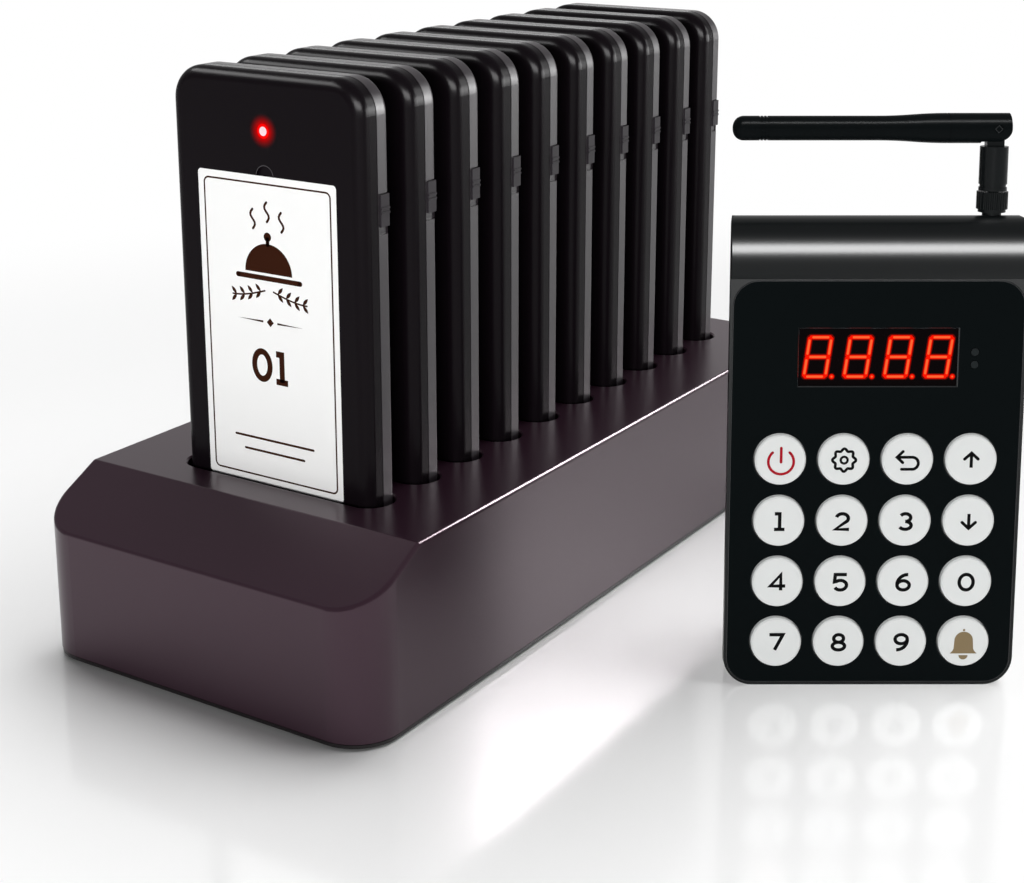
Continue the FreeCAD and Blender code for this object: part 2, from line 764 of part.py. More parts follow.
def make_pager_front():
    body = new_body("pager_front")
    pager_outline(body, "0", "pager_seam_depth", "0")
    round_edges(body, "pager_front_edge", lambda edge: in_plane(edge, "Y", "0"))
    hollow = new_body("pager_front_hollow")
    pager_outline(hollow, "pager_wall", "pager_seam_depth", "pager_face")
    recess = new_body("card_recess_shape")
    corners = rectangle("-card_width / 2 - lamp_gap", "card_base - lamp_gap", "card_width / 2 + lamp_gap",
                        "card_base + card_height + lamp_gap")
    sketch = draw_outline(recess, "XZ_Plane", corners, "overrun")
    pad(recess, sketch, "card_recess + overrun", backwards=True)
    round_edges(recess, "card_corner_radius", lambda edge: runs_along(edge, Y_AXIS))
    thumb = rod("thumb_notch", ("0", "-overrun", "card_base + card_height"), "thumb_radius",
                "card_recess + overrun", "y")
    lamp_hole = rod("lamp_hole", ("0", "-overrun", "lamp_rise"), "lamp_radius + lamp_gap",
                    "pager_face + overrun * 2", "y")
    shell = cut("pager_front_shell", body, [hollow, recess, thumb, lamp_hole])
    card_body = new_body("number_card")
    corners = rectangle("-card_width / 2", "card_base", "card_width / 2", "card_base + card_height")
    sketch = draw_outline(card_body, "XZ_Plane", corners, "card_thickness - card_recess")
    pad(card_body, sketch, "card_thickness", backwards=True)
    round_edges(card_body, "card_corner_radius", lambda edge: runs_along(edge, Y_AXIS))
    lens = rod("lamp_lens", ("0", "lamp_gap", "lamp_rise"), "lamp_radius",
               "pager_board_front - lamp_gap", "y")
    return [shell, card_body, lens]


def make_pager_rear():
    body = new_body("pager_rear")
    pager_outline(body, "0", "pager_thickness - rear_start", "rear_start")
    round_edges(body, "pager_back_edge", lambda edge: in_plane(edge, "Y", "pager_thickness"))
    lip = new_body("pager_lip")
    pager_outline(lip, "(pager_wall + lip_gap)", "lip_depth + pager_seam + lip_depth", "pager_board_front")
    lip_hollow = new_body("pager_lip_hollow")
    pager_outline(lip_hollow, "(pager_wall + lip_gap + lip_wall)", "rear_inside",
                  "pager_board_front - overrun")
    hollow = new_body("pager_rear_hollow")
    pager_outline(hollow, "pager_wall", "rear_inside - rear_start + overrun", "rear_start - overrun")
    shell = cut("pager_rear_cup", body, [hollow])
    ring = cut("pager_lip_ring", lip, [lip_hollow])
    bridge = new_body("pager_lip_bridge")
    pager_outline(bridge, "(pager_wall - lip_gap)", "lip_depth", "rear_start")
    bridge_hollow = new_body("pager_bridge_hollow")
    pager_outline(bridge_hollow, "(pager_wall + lip_gap * 2)", "lip_depth + overrun * 2",
                  "rear_start - overrun")
    joined = fuse("pager_rear_joined", [shell, ring, cut("pager_bridge", bridge, [bridge_hollow])])
    posts = [rod("pager_post", (x, "pager_board_front + pager_board_thickness", z), "pager_post_radius",
                 "pager_thickness - pager_wall / 2 - (pager_board_front + pager_board_thickness)", "y")
             for x, z in pager_post_places()]
    whole = fuse("pager_rear_whole", [joined] + posts)
    side = "pager_width / 2"
    low = "switch_top - switch_height - switch_travel - switch_gap"
    near = "switch_setback - switch_width / 2 - switch_gap"
    recess = block("switch_recess_shape", (side + " - switch_recess", near, low),
                   ("switch_recess + overrun", "switch_width + switch_gap * 2",
                    "switch_height + switch_travel + switch_gap * 2"))
    stem_low = "switch_top - switch_height / 2 - switch_stem_height / 2 - switch_travel - switch_gap"
    slit = block("switch_slit", (side + " - pager_wall - lip_gap - lip_wall - overrun",
                                 "switch_setback - switch_stem_width / 2 - switch_gap", stem_low),
                 ("pager_wall + lip_gap + lip_wall + overrun", "switch_stem_width + switch_gap * 2",
                  "switch_stem_height + switch_travel + switch_gap * 2"))
    pads_holes = [rod("pad_hole", (x, "contact_setback", "-overrun"), "pad_radius + running_gap",
                      "pager_wall + overrun") for x in ("-contact_spacing / 2", "contact_spacing / 2")]
    rear = cut("pager_rear_shell", whole, [recess, slit] + pads_holes)
    return [rear] + make_pager_inside()


def pager_post_places():
    side = "(pager_board_width / 2 - pager_post_inset)"
    low = "pager_board_base + pager_post_inset"
    high = "pager_board_base + pager_board_height - pager_post_inset"
    return [(sign + side, z) for sign in ("-", "") for z in (low, high)]


def make_pager_inside():
    """Board, battery, motor, switch block and charging pads."""
    board = block("pager_board", ("-pager_board_width / 2", "pager_board_front", "pager_board_base"),
                  ("pager_board_width", "pager_board_thickness", "pager_board_height"))
    cell = block("pager_cell",
                 ("-pager_cell_width / 2", "rear_inside - pager_cell_depth", "pager_cell_base"),
                 ("pager_cell_width", "pager_cell_depth", "pager_cell_height"))
    motor = rod("pager_motor", ("0", "rear_inside - motor_depth", "motor_base"), "motor_radius",
                "motor_depth", "y")
    stem_end = "pager_width / 2 - switch_recess - switch_stem_length - switch_gap"
    switch_middle = "switch_top - switch_height / 2 - switch_travel / 2"
    switch_block = block("switch_block", (stem_end + " - switch_block_depth",
                                          "pager_board_front + pager_board_thickness",
                                          "%s - switch_block_height / 2" % switch_middle),
                         ("switch_block_depth", "rear_inside - (pager_board_front + pager_board_thickness)",
                          "switch_block_height"))
    pads = [rod("charging_pad", (x, "contact_setback", "pager_wall - pad_thickness"), "pad_radius",
                "pad_thickness") for x in ("-contact_spacing / 2", "contact_spacing / 2")]
    return [board, cell, motor, switch_block] + pads


def make_pager_switch():
    """The cap that slides in the pager's side, with its stem and two fine ribs."""
    near = "switch_setback - switch_width / 2"
    floor = "pager_width / 2 - switch_recess + switch_gap / 2"
    thickness = "switch_recess - switch_gap / 2 + switch_proud"
    cap = block("switch_cap", (floor, near, "switch_top - switch_height"),
                (thickness, "switch_width", "switch_height"))
    stem = block("switch_stem", ("pager_width / 2 - switch_recess - switch_stem_length",
                                 "switch_setback - switch_stem_width / 2",
                                 "switch_top - switch_height / 2 - switch_stem_height / 2"),
                 ("switch_stem_length + switch_recess", "switch_stem_width", "switch_stem_height"))
    middle = "switch_top - switch_height / 2 - rib_height / 2"
    ribs = [block("switch_rib", ("pager_width / 2", near, middle + sign + "rib_spacing / 2"),
                  ("switch_proud + rib_proud", "switch_width", "rib_height")) for sign in (" - ", " + ")]
    return [fuse("pager_switch_whole", [cap, stem] + ribs)]


def make_pagers():
    front, rear, switch = make_pager_front(), make_pager_rear(), make_pager_switch()
    for index in range(int(value("pager_count"))):
        pager_node("pager_%02d_front_half" % (index + 1), front, index)
        pager_node("pager_%02d_rear_half" % (index + 1), rear, index)
        pager_node("pager_%02d_switch" % (index + 1), switch, index)


# Keypad housing


def keypad_form(name, profile_corners, inset):
    """What a side profile, the front outline and the plan have in common, drawn in by an inset."""
    profile = new_body(name + "_profile")
    sketch = draw_outline(profile, "YZ_Plane", profile_corners)
    pad(profile, sketch, "keypad_width + overrun", both_ways=True)
    outline = new_body(name + "_outline")
    half = "(keypad_width / 2 - %s)" % inset
    corners = rectangle("-" + half, inset, half, "keypad_height - " + inset)
    sketch = draw_outline(outline, "XZ_Plane", corners, "overrun + roll_bulge")
    pad(outline, sketch, "keypad_depth + roll_bulge + overrun * 2", backwards=True)
    round_edges(outline, "keypad_corner_radius - " + inset,
                lambda edge: runs_along(edge, Y_AXIS) and edge.BoundBox.ZMax < value("keypad_height / 2"))
    round_edges(outline, "keypad_top_radius",
                lambda edge: runs_along(edge, Y_AXIS) and edge.BoundBox.ZMin > value("roll_middle"))
    plan = new_body(name + "_plan")
    narrow = "(%s - keypad_taper)" % half
    corners = [
        ("-" + half, "-roll_bulge - overrun"),
        (half, "-roll_bulge - overrun"),
        (half, "roll_bulge"),
        (narrow, "keypad_depth"),
        ("-" + narrow, "keypad_depth"),
        ("-" + half, "roll_bulge"),
    ]
    pad(plan, draw_outline(plan, "XY_Plane", corners, "-overrun"), "keypad_height + overrun * 2")
    round_edges(plan, "keypad_edge_radius",
                lambda edge: runs_along(edge, Z_AXIS) and edge.BoundBox.YMin > value("keypad_split"))
    return common(name + "_form", [profile, outline, plan])


def keypad_solid():
    """The keypad's outer form."""
    corners = [
        ("0", "0"),
        ("keypad_depth", "keypad_depth * base_slant"),
        ("keypad_depth", "top_low - keypad_back_radius", "keypad_back_radius"),
        ("top_back", "top_low"),
        ("top_front", "top_high", "roll_radius"),
        ("0", "crease"),
    ]
    return keypad_form("keypad", corners, "0")


def keypad_cavity():
    """The space inside, a wall's thickness in from the outer form."""
    corners = [
        ("cover_inside", "cover_inside * base_slant + floor_slack"),
        ("rear_wall", "rear_wall * base_slant + floor_slack"),
        ("rear_wall", "roof_low - keypad_back_radius"),
        ("top_back", "roof_low"),
        ("roof_slanted", "roof_high", "roof_radius"),
        ("cover_inside", "roof_front"),
    ]
    return keypad_form("keypad_space", corners, "keypad_wall")


def keypad_hump():
    """The deep lower part of the back, which lets the keypad stand while it leans."""
    body = new_body("hump")
    corners = [
        ("rear_front", "rear_front * base_slant"),
        ("hump_depth", "hump_depth * base_slant"),
        ("hump_depth", "hump_rise"),
        ("rear_front", "hump_rise + hump_slope"),
    ]
    pad(body, draw_outline(body, "YZ_Plane", corners), "hump_width", both_ways=True)
    rise, front = value("hump_rise"), value("rear_front")
    round_edges(body, "hump_edge_radius",
                lambda edge: edge.BoundBox.XLength < 1e-6 and edge.BoundBox.ZMax > rise - 1e-4
                and edge.BoundBox.YMax > front + 1e-4)
    return body


def keypad_hump_space():
    body = new_body("hump_space")
    corners = [
        ("keypad_split", "keypad_split * base_slant + floor_slack"),
        ("hump_depth - keypad_wall", "(hump_depth - keypad_wall) * base_slant + floor_slack"),
        ("hump_depth - keypad_wall", "hump_rise - keypad_wall / 2"),
        ("keypad_split", "hump_rise + hump_slope - keypad_wall * 3 / 2"),
    ]
    pad(body, draw_outline(body, "YZ_Plane", corners), "hump_width - keypad_wall * 2", both_ways=True)
    return body


def face_slab(name, margin, front, depth):
    """A slab of the face panel's outline, drawn in from the keypad's sides by a margin."""
    body = new_body(name)
    half = "(keypad_width / 2 - %s)" % margin
    corners = rectangle("-" + half, margin, half, "crease - %s + panel_rim / 2" % margin)
    pad(body, draw_outline(body, "XZ_Plane", corners, "-(%s)" % front), depth, backwards=True)
    round_edges(body, "panel_corner_radius", lambda edge: runs_along(edge, Y_AXIS))
    return body


def key_place(column, row):
    """Middle of a key on the face. Row 0 is the top row."""
    across = "face_shift + key_pitch_across * (%d - 3) / 2" % (column * 2)
    up = "key_row_base + key_pitch_up * %d" % (len(KEYS) - 1 - row)
    return across, up


def face_holes(gap):
    """Cutters for the keys, the display window and the indicator lamps."""
    tools = []
    through = "cover_inside + overrun * 2"
    for row, names in enumerate(KEYS):
        for column in range(len(names)):
            across, up = key_place(column, row)
            tools.append(rod("key_hole", (across, "-overrun", up), "key_radius + key_gap", through, "y"))
    window_low = "face_shift - window_width / 2 - " + gap
    tools.append(block("window_hole", (window_low, "-overrun", "window_base - " + gap),
                       ("window_width + 2 * " + gap, through, "window_height + 2 * " + gap)))
    for up in ("indicator_low", "indicator_low + indicator_spacing"):
        tools.append(rod("indicator_hole", ("indicator_across", "-overrun", up),
                         "indicator_radius + lamp_gap", through, "y"))
    return tools


def cover_post_places():
    """Posts that carry the board: four between the keys, two beside the display."""
    side = "key_pitch_across"
    low = "key_row_base + key_pitch_up / 2"
    high = "key_row_base + key_pitch_up * 5 / 2"
    places = [("face_shift - " + side, low), ("face_shift + " + side, low)]
    places += [("face_shift - " + side, high), ("face_shift + " + side, high)]
    return places + [("-cover_post_across", "cover_post_rise"), ("cover_post_across", "cover_post_rise")]


def screw_places():
    """Where the four screws of the rear cover are, in each row of keys' gap and under the roll."""
    return [(sign + "(keypad_screw_across)", up) for sign in ("-", "")
            for up in ("keypad_screw_low", "keypad_screw_high")]


def make_keypad_covers():
    outer = keypad_solid()
    cavity = keypad_cavity()
    shell = cut("keypad_shell", outer, [cavity])
    wide = ("keypad_width + overrun * 2", "keypad_depth", "keypad_height + overrun * 2")
    side = "-keypad_width / 2 - overrun"
    front_space = block("front_space", (side, "keypad_split - keypad_depth", "-overrun"), wide)
    rear_space = block("rear_space", (side, "rear_front", "-overrun"), wide)
    posts = [rod("cover_post", (x, "cover_inside - cover_face / 2", z), "cover_post_radius",
                 "keypad_board_setback - (cover_inside - cover_face / 2)", "y")
             for x, z in cover_post_places()]
    bosses = [rod("front_boss", (x, "cover_inside - cover_face / 2", z), "front_boss_radius",
                  "keypad_split - (cover_inside - cover_face / 2)", "y") for x, z in screw_places()]
    held = common("cover_supports", [fuse("cover_posts", posts + bosses), outer])
    front_part = fuse("front_with_posts", [common("front_part", [shell, front_space]), held])
    tools = [face_slab("panel_recess", "panel_rim", "-overrun", "panel_thickness + panel_sunk + overrun")]
    axis = ("antenna_across", "antenna_setback")
    tools.append(rod("bush_hole", axis + ("keypad_height - keypad_wall - overrun",),
                     "bush_radius + bush_hole_gap", "keypad_wall + overrun * 2"))
    tools.append(rod("antenna_seat", axis + ("keypad_height - antenna_seat_depth",),
                     "collar_radius + fit_gap", "antenna_seat_depth + overrun"))
    tools.append(rod("keypad_jack_hole", ("keypad_jack_end - keypad_wall - overrun", "keypad_jack_setback",
                                          "keypad_jack_rise"),
                     "keypad_jack_nose_radius + fit_gap",
                     "keypad_jack_inset + keypad_wall + overrun * 2", "x"))
    tools += [rod("front_boss_hole", (x, "keypad_depth - screw_length - overrun", z),
                  "screw_radius + running_gap", "screw_length", "y") for x, z in screw_places()]
    keypad_node("keypad_front_cover", [cut("keypad_front_solid", front_part, tools + face_holes("fit_gap"))])
    make_rear_cover(outer, cavity, rear_space)


def make_rear_cover(outer, cavity, rear_space):
    """The rear cover with its hump, and the screws that hold it to the front cover."""
    whole = cut("rear_shell", fuse("rear_form", [outer, keypad_hump()]), [cavity, keypad_hump_space()])
    rear_part = common("rear_part", [whole, rear_space])
    bosses = [rod("rear_boss", (x, "rear_front", z), "boss_radius",
                  "rear_wall - rear_front + keypad_wall / 2", "y") for x, z in screw_places()]
    joined = fuse("rear_with_bosses", [rear_part, common("rear_bosses", [fuse("bosses", bosses), outer])])
    tools = []
    screws = []
    for x, z in screw_places():
        head_depth = "keypad_depth - screw_head_height"
        tools.append(rod("rear_head_hole", (x, head_depth, z), "screw_head_radius + fit_gap",
                         "screw_head_height + overrun", "y"))
        tools.append(rod("rear_screw_hole", (x, "keypad_split - overrun", z), "screw_radius + fit_gap",
                         "keypad_depth - keypad_split + overrun", "y"))
        head = rod("rear_screw_head", (x, head_depth, z), "screw_head_radius",
                   "screw_head_height - fit_gap", "y")
        shank = rod("rear_screw_shank", (x, head_depth + " - screw_length + screw_head_height", z),
                    "screw_radius", "screw_length - screw_head_height", "y")
        screws.append(fuse("rear_screw", [head, shank]))
    keypad_node("keypad_rear_cover", [cut("keypad_rear_solid", joined, tools)] + screws)


def make_face_panel():
    slab = face_slab("face_panel", "(panel_rim + panel_gap)", "panel_sunk", "panel_thickness")
    keypad_node("keypad_face_panel", [cut("face_panel_solid", slab, face_holes("0"))])


def make_display_module():
    low = "face_shift - window_width / 2 + fit_gap"
    display = block("display_block", (low, "window_sunk", "window_base + fit_gap"),
                    ("window_width - 2 * fit_gap", "keypad_board_setback - window_sunk",
                     "window_height - 2 * fit_gap"))
    lamps = [rod("indicator_lamp", ("indicator_across", "panel_sunk", up), "indicator_radius",
                 "keypad_board_setback - panel_sunk", "y")
             for up in ("indicator_low", "indicator_low + indicator_spacing")]
    keypad_node("keypad_display_module", [display] + lamps)


def make_keypad_board():
    """Board with its key switches, and behind it the battery and the power socket."""
    sheet_form = block("keypad_board_sheet",
                       ("-(keypad_board_width) / 2", "keypad_board_setback", "keypad_board_base"),
                       ("keypad_board_width", "board_thickness", "keypad_board_height"))
    notches = [rod("board_notch", (x, "keypad_board_setback - overrun", z), "front_boss_radius + seat_gap",
                   "board_thickness + overrun * 2", "y") for x, z in screw_places()]
    board = cut("keypad_board", sheet_form, notches)
    switches = []
    for row, names in enumerate(KEYS):
        for column in range(len(names)):
            across, up = key_place(column, row)
            low = (across + " - key_switch_width / 2", "keypad_board_setback - key_switch_height",
                   up + " - key_switch_width / 2")
            size = ("key_switch_width", "key_switch_height", "key_switch_width")
            switches.append(block("key_switch", low, size))
    cell = block("keypad_cell", ("-keypad_cell_width / 2", "hump_depth - keypad_wall - keypad_cell_depth",
                                 "keypad_cell_base"),
                 ("keypad_cell_width", "keypad_cell_depth", "keypad_cell_height"))
    board_back = "keypad_board_setback + board_thickness"
    case = block("keypad_jack_case", ("keypad_jack_end - keypad_wall - jack_depth", board_back,
                                      "keypad_jack_rise - jack_width / 2"),
                 ("jack_depth", "keypad_jack_thickness", "jack_width"))
    nose = rod("keypad_jack_nose",
               ("keypad_jack_end - keypad_wall", "keypad_jack_setback", "keypad_jack_rise"),
               "keypad_jack_nose_radius", "keypad_wall", "x")
    bore = rod("keypad_jack_bore", ("keypad_jack_end - jack_bore_depth", "keypad_jack_setback",
                                    "keypad_jack_rise"),
               "jack_bore_radius", "jack_bore_depth + overrun", "x")
    jack = cut("keypad_jack", fuse("keypad_jack_whole", [case, nose]), [bore])
    keypad_node("keypad_circuit_board", [board] + switches + [cell, jack])


def make_key():
    """A key: a bevelled cap, the flange that stops it behind the cover, and its stem."""
    body = new_body("key_form")
    stem_end = "(keypad_board_setback - key_switch_height - key_travel - key_gap)"
    flange_front = "(cover_inside + key_gap)"
    # The outline is a radius and a depth, turned about the key's axis
    corners = [
        ("0", "-key_proud"),
        ("key_radius - key_bevel", "-key_proud"),
        ("key_radius", "key_bevel - key_proud"),
        ("key_radius", flange_front),
        ("key_flange_radius", flange_front),
        ("key_flange_radius", flange_front + " + key_flange"),
        ("key_stem_radius", flange_front + " + key_flange"),
        ("key_stem_radius", stem_end),
        ("0", stem_end),
    ]
    sketch = draw_outline(body, "XY_Plane", corners)
    turn = body.newObject("PartDesign::Revolution", "key_turn")
    turn.Profile = sketch
    turn.ReferenceAxis = (sketch, ["V_Axis"])
    doc.recompute()
    return body


def make_keys():
    form = make_key()
    for row, names in enumerate(KEYS):
        for column, name in enumerate(names):
            across, up = key_place(column, row)
            seat = group("key_seat_" + name, [form], (across, "0", up))
            keypad_node("key_" + name, [seat])


# Antenna


def make_antenna_connector():
    """A flanged bush through the roof, with a collar, a washer and a knurled nut on it."""
    axis = ("antenna_across", "antenna_setback")
    pieces = [
        rod("bush", axis + ("keypad_height - bush_depth",), "bush_radius",
            "nut_top - keypad_height + bush_depth"),
        rod("bush_flange",
            axis + ("keypad_height - keypad_wall - bush_flange_drop - bush_flange_thickness",),
            "bush_flange_radius", "bush_flange_thickness"),
        rod("collar", axis + ("keypad_height - antenna_seat_depth",), "collar_radius",
            "antenna_seat_depth + collar_height"),
        rod("washer", axis + ("washer_bottom",), "washer_radius", "washer_height"),
    ]
    bore = rod("bush_bore", axis + ("barrel_bottom - spigot_length - seam_gap",),
               "spigot_radius + running_gap", "spigot_length + overrun")
    fixed = cut("bush_solid", fuse("bush_whole", pieces), [bore])
    nut = new_body("knurled_nut")
    pad(nut, draw_circle(nut, "XY_Plane", "0", "0", "nut_radius", "washer_top"), "nut_height")
    pocket(nut, draw_circle(nut, "XY_Plane", "0", "0", "bush_radius + running_gap", "washer_top"),
           "nut_height + overrun", backwards=True)
    flute = pocket(nut, draw_circle(nut, "XY_Plane", "nut_radius", "0", "flute_radius", "washer_top"),
                   "nut_height + overrun", backwards=True)
    ring = nut.newObject("PartDesign::PolarPattern", "nut_knurl")
    ring.Originals = [flute]
    ring.Axis = ([item for item in nut.Origin.OriginFeatures if item.Role == "Z_Axis"][0], [""])
    bind(ring, Occurrences="nut_flutes")
    nut.Tip = ring
    seated = group("nut_seat", [nut], axis + ("0",))
    keypad_node("antenna_connector", [fixed, seated])


def make_antenna_swivel():
    axis = ("antenna_across", "antenna_setback")
    body = new_body("swivel_barrel")
    # A radius and a height, turned about the barrel's axis
    ring = "barrel_radius - ring_groove"
    corners = [
        ("0", "barrel_bottom - spigot_length"),
        ("spigot_radius", "barrel_bottom - spigot_length"),
        ("spigot_radius", "barrel_bottom"),
        ("barrel_radius", "barrel_bottom"),
        ("barrel_radius", "barrel_bottom + barrel_rings / 2"),
        (ring, "barrel_bottom + barrel_rings / 2"),
        (ring, "barrel_bottom + barrel_rings"),
        ("barrel_radius", "barrel_bottom + barrel_rings"),
        ("barrel_radius", "barrel_top"),
        ("0", "barrel_top"),
    ]
    sketch = draw_outline(body, "XZ_Plane", corners)
    turn = body.newObject("PartDesign::Revolution", "barrel_turn")
    turn.Profile = sketch
    turn.ReferenceAxis = (sketch, ["V_Axis"])
    doc.recompute()
    barrel = group("barrel_seat", [body], axis + ("0",))
    neck = block("tongue_neck", ("antenna_across - tongue_width / 2",
                                 "antenna_setback - tongue_thickness / 2", "barrel_top - ring_groove"),
                 ("tongue_width", "tongue_thickness", "hinge_rise + ring_groove"))
    crown = rod("tongue_crown", ("antenna_across", "antenna_setback - tongue_thickness / 2", "hinge"),
                "tongue_width / 2", "tongue_thickness", "y")
    eye = rod("tongue_eye", ("antenna_across", "antenna_setback - tongue_thickness", "hinge"),
              "pin_radius + running_gap", "tongue_thickness * 2", "y")
    keypad_node("antenna_swivel", [cut("swivel_solid", fuse("swivel_whole", [barrel, neck, crown]), [eye])])


def make_antenna_arm():
    body = new_body("arm_form")
    # A distance along the arm, from its hinge to its tip, and a radius, turned about the arm's axis
    corners = [("-arm_overhang", "0"), ("arm_length", "0")]
    corners += [("arm_length", "arm_tip_radius - arm_tip_rounding", "arm_tip_rounding")]
    corners += [("arm_length - arm_tip_rounding", "arm_tip_radius")]
    for index in (2, 1, 0):
        start = "arm_groove_run + arm_groove_pitch * %d" % index
        corners += [(start + " + arm_groove_width", "arm_tip_radius"),
                    (start + " + arm_groove_width", "arm_tip_radius - arm_groove_depth"),
                    (start, "arm_tip_radius - arm_groove_depth"),
                    (start, "arm_tip_radius")]
    # The sleeve thickens in two arcs that meet smoothly, then a fine seam runs round it
    corners += [("arm_thick_run + arm_curve_run", "arm_tip_radius", "arm_curve_bend", "hollow"),
                ("arm_thick_run + arm_curve_run / 2", "(arm_tip_radius + arm_radius) / 2", "arm_curve_bend"),
                ("arm_thick_run", "arm_radius"),
                ("arm_thick_run", "arm_radius - arm_seam_depth"),
                ("arm_thick_run - arm_seam_width", "arm_radius - arm_seam_depth"),
                ("arm_thick_run - arm_seam_width", "arm_radius"),
                ("-arm_overhang", "arm_radius")]
    sketch = draw_outline(body, "XY_Plane", corners)
    turn = body.newObject("PartDesign::Revolution", "arm_turn")
    turn.Profile = sketch
    turn.ReferenceAxis = (sketch, ["H_Axis"])
    doc.recompute()
    # The fork is open below and at the end, flat beneath, and its lower corner is rounded about the hinge
    wide = "arm_radius * 2 + overrun"
    gap = "(tongue_width / 2 + hinge_gap)"
    slit = block("fork_slit", ("-arm_overhang - overrun", "-tongue_thickness / 2 - hinge_gap / 2",
                               "-arm_radius - overrun"),
                 ("arm_overhang + overrun + " + gap, "tongue_thickness + hinge_gap",
                  "arm_radius + overrun + " + gap))
    corner = block("fork_corner", ("-arm_overhang - overrun", "-(%s) / 2" % wide, "-arm_radius - overrun"),
                   ("arm_overhang + overrun", wide, "arm_radius + overrun"))
    flat = block("fork_flat", ("-arm_overhang - overrun", "-(%s) / 2" % wide, "-arm_radius - overrun"),
                 ("arm_overhang + overrun + arm_flat_run", wide, "arm_flat_depth + overrun"))
    round_part = rod("fork_round", ("0", "-(%s)" % wide, "0"), "arm_overhang", "2 * (%s)" % wide, "y")
    eye = rod("fork_eye", ("0", "-(%s) / 2" % wide, "0"), "pin_radius + running_gap / 2", wide, "y")
    solid = cut("arm_solid", body, [slit, flat, cut("fork_lower_corner", corner, [round_part]), eye])
    pin = rod("hinge_pin", ("0", "pin_inset - arm_radius", "0"), "pin_radius",
              "2 * (arm_radius - pin_inset)", "y")
    whole = group("arm_whole", [solid, pin])
    # The arm lies to the left of its hinge
    whole.Placement = Placement(Vector(), Rotation(Z_AXIS, 180))
    place(whole, ("antenna_across", "antenna_setback", "hinge"))
    keypad_node("antenna_arm", [whole])


def settle_origin():
    """Put the origin in the middle of the footprint of the whole set."""
    doc.recompute()
    box = FreeCAD.BoundBox()
    for item in NODES.values():
        box.add(item.Shape.optimalBoundingBox(False, False))
    sheet.set(sheet.getCellFromAlias("origin_across"), repr((box.XMin + box.XMax) / 2))
    sheet.set(sheet.getCellFromAlias("origin_along"), repr((box.YMin + box.YMax) / 2))
    doc.recompute()


def check_document():
    """Stop if an object failed or a node's shape is not sound."""
    for item in doc.Objects:
        if "Invalid" in item.State or "Error" in item.State:
            raise RuntimeError("failed object: " + item.Name)
    for name, item in NODES.items():
        if item.Shape.isNull() or not item.Shape.isValid() or not item.Shape.Solids:
            raise RuntimeError("unsound shape: " + name)


def main():
    make_dock_housing()
    make_dock_bottom_plate()
    make_dock_feet()
    make_dock_screws()
    make_dock_contact_board()
    make_dock_power_socket()
    make_pagers()
    make_keypad_covers()
    make_face_panel()
    make_display_module()
    make_keypad_board()
    make_keys()
    make_antenna_connector()
    make_antenna_swivel()
    make_antenna_arm()
    settle_origin()
    check_document()
    os.makedirs("parts", exist_ok=True)
    for name, item in NODES.items():
        item.Shape.exportStep("parts/%s.step" % name)
    print("%d nodes, origin at %.3f, %.3f from the middle of the dock"
          % (len(NODES), value("origin_across"), value("origin_along")))


main()
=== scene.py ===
import json
import math
import bpy
from mathutils import Matrix, Vector

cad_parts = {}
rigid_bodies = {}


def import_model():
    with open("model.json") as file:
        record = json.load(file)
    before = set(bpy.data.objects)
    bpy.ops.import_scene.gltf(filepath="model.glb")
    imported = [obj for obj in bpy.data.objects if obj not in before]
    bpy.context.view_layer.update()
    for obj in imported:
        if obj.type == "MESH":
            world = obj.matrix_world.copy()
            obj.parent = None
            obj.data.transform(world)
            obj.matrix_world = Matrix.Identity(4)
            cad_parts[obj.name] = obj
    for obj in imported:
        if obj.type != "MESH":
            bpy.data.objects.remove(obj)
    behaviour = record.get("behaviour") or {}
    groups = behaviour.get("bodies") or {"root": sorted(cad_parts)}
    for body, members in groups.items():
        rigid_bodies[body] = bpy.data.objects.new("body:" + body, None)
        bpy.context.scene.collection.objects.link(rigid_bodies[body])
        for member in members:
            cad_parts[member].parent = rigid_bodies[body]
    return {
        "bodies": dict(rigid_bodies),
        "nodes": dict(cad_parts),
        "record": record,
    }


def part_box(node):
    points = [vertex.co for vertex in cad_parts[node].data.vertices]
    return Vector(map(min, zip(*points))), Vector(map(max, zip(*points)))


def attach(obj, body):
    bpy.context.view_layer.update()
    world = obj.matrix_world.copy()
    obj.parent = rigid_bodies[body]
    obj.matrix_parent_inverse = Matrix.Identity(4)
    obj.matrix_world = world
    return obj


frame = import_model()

scene = bpy.context.scene
MM = 0.001

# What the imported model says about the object
JOINTS = {joint["name"]: joint for joint in frame["record"]["behaviour"]["joints"]}
PAGERS = sorted(name for name in frame["bodies"] if name.startswith("pager_") and not name.endswith("switch"))
KEYS = sorted(name for name in frame["bodies"] if name.startswith("key_"))


def turned(across, inward, upward):
    """A matrix whose columns are a piece's own axes."""
    return Matrix((across, inward, upward)).transposed().to_4x4()


KEYPAD_IN = Vector(JOINTS["key_1_press"]["axis"]).normalized()
KEYPAD_UP = Vector(JOINTS["antenna_swivel_turn"]["axis"]).normalized()
KEYPAD = turned(KEYPAD_IN.cross(KEYPAD_UP), KEYPAD_IN, KEYPAD_UP)
UPRIGHT = Matrix.Identity(4)


def extent(node, axes=UPRIGHT):
    """Lowest and highest corner of a CAD node along the given axes, in metres."""
    back = axes.inverted()
    places = [back @ vertex.co for vertex in frame["nodes"][node].data.vertices]
    return [Vector([pick(place[k] for place in places) for k in range(3)]) for pick in (min, max)]


# Materials


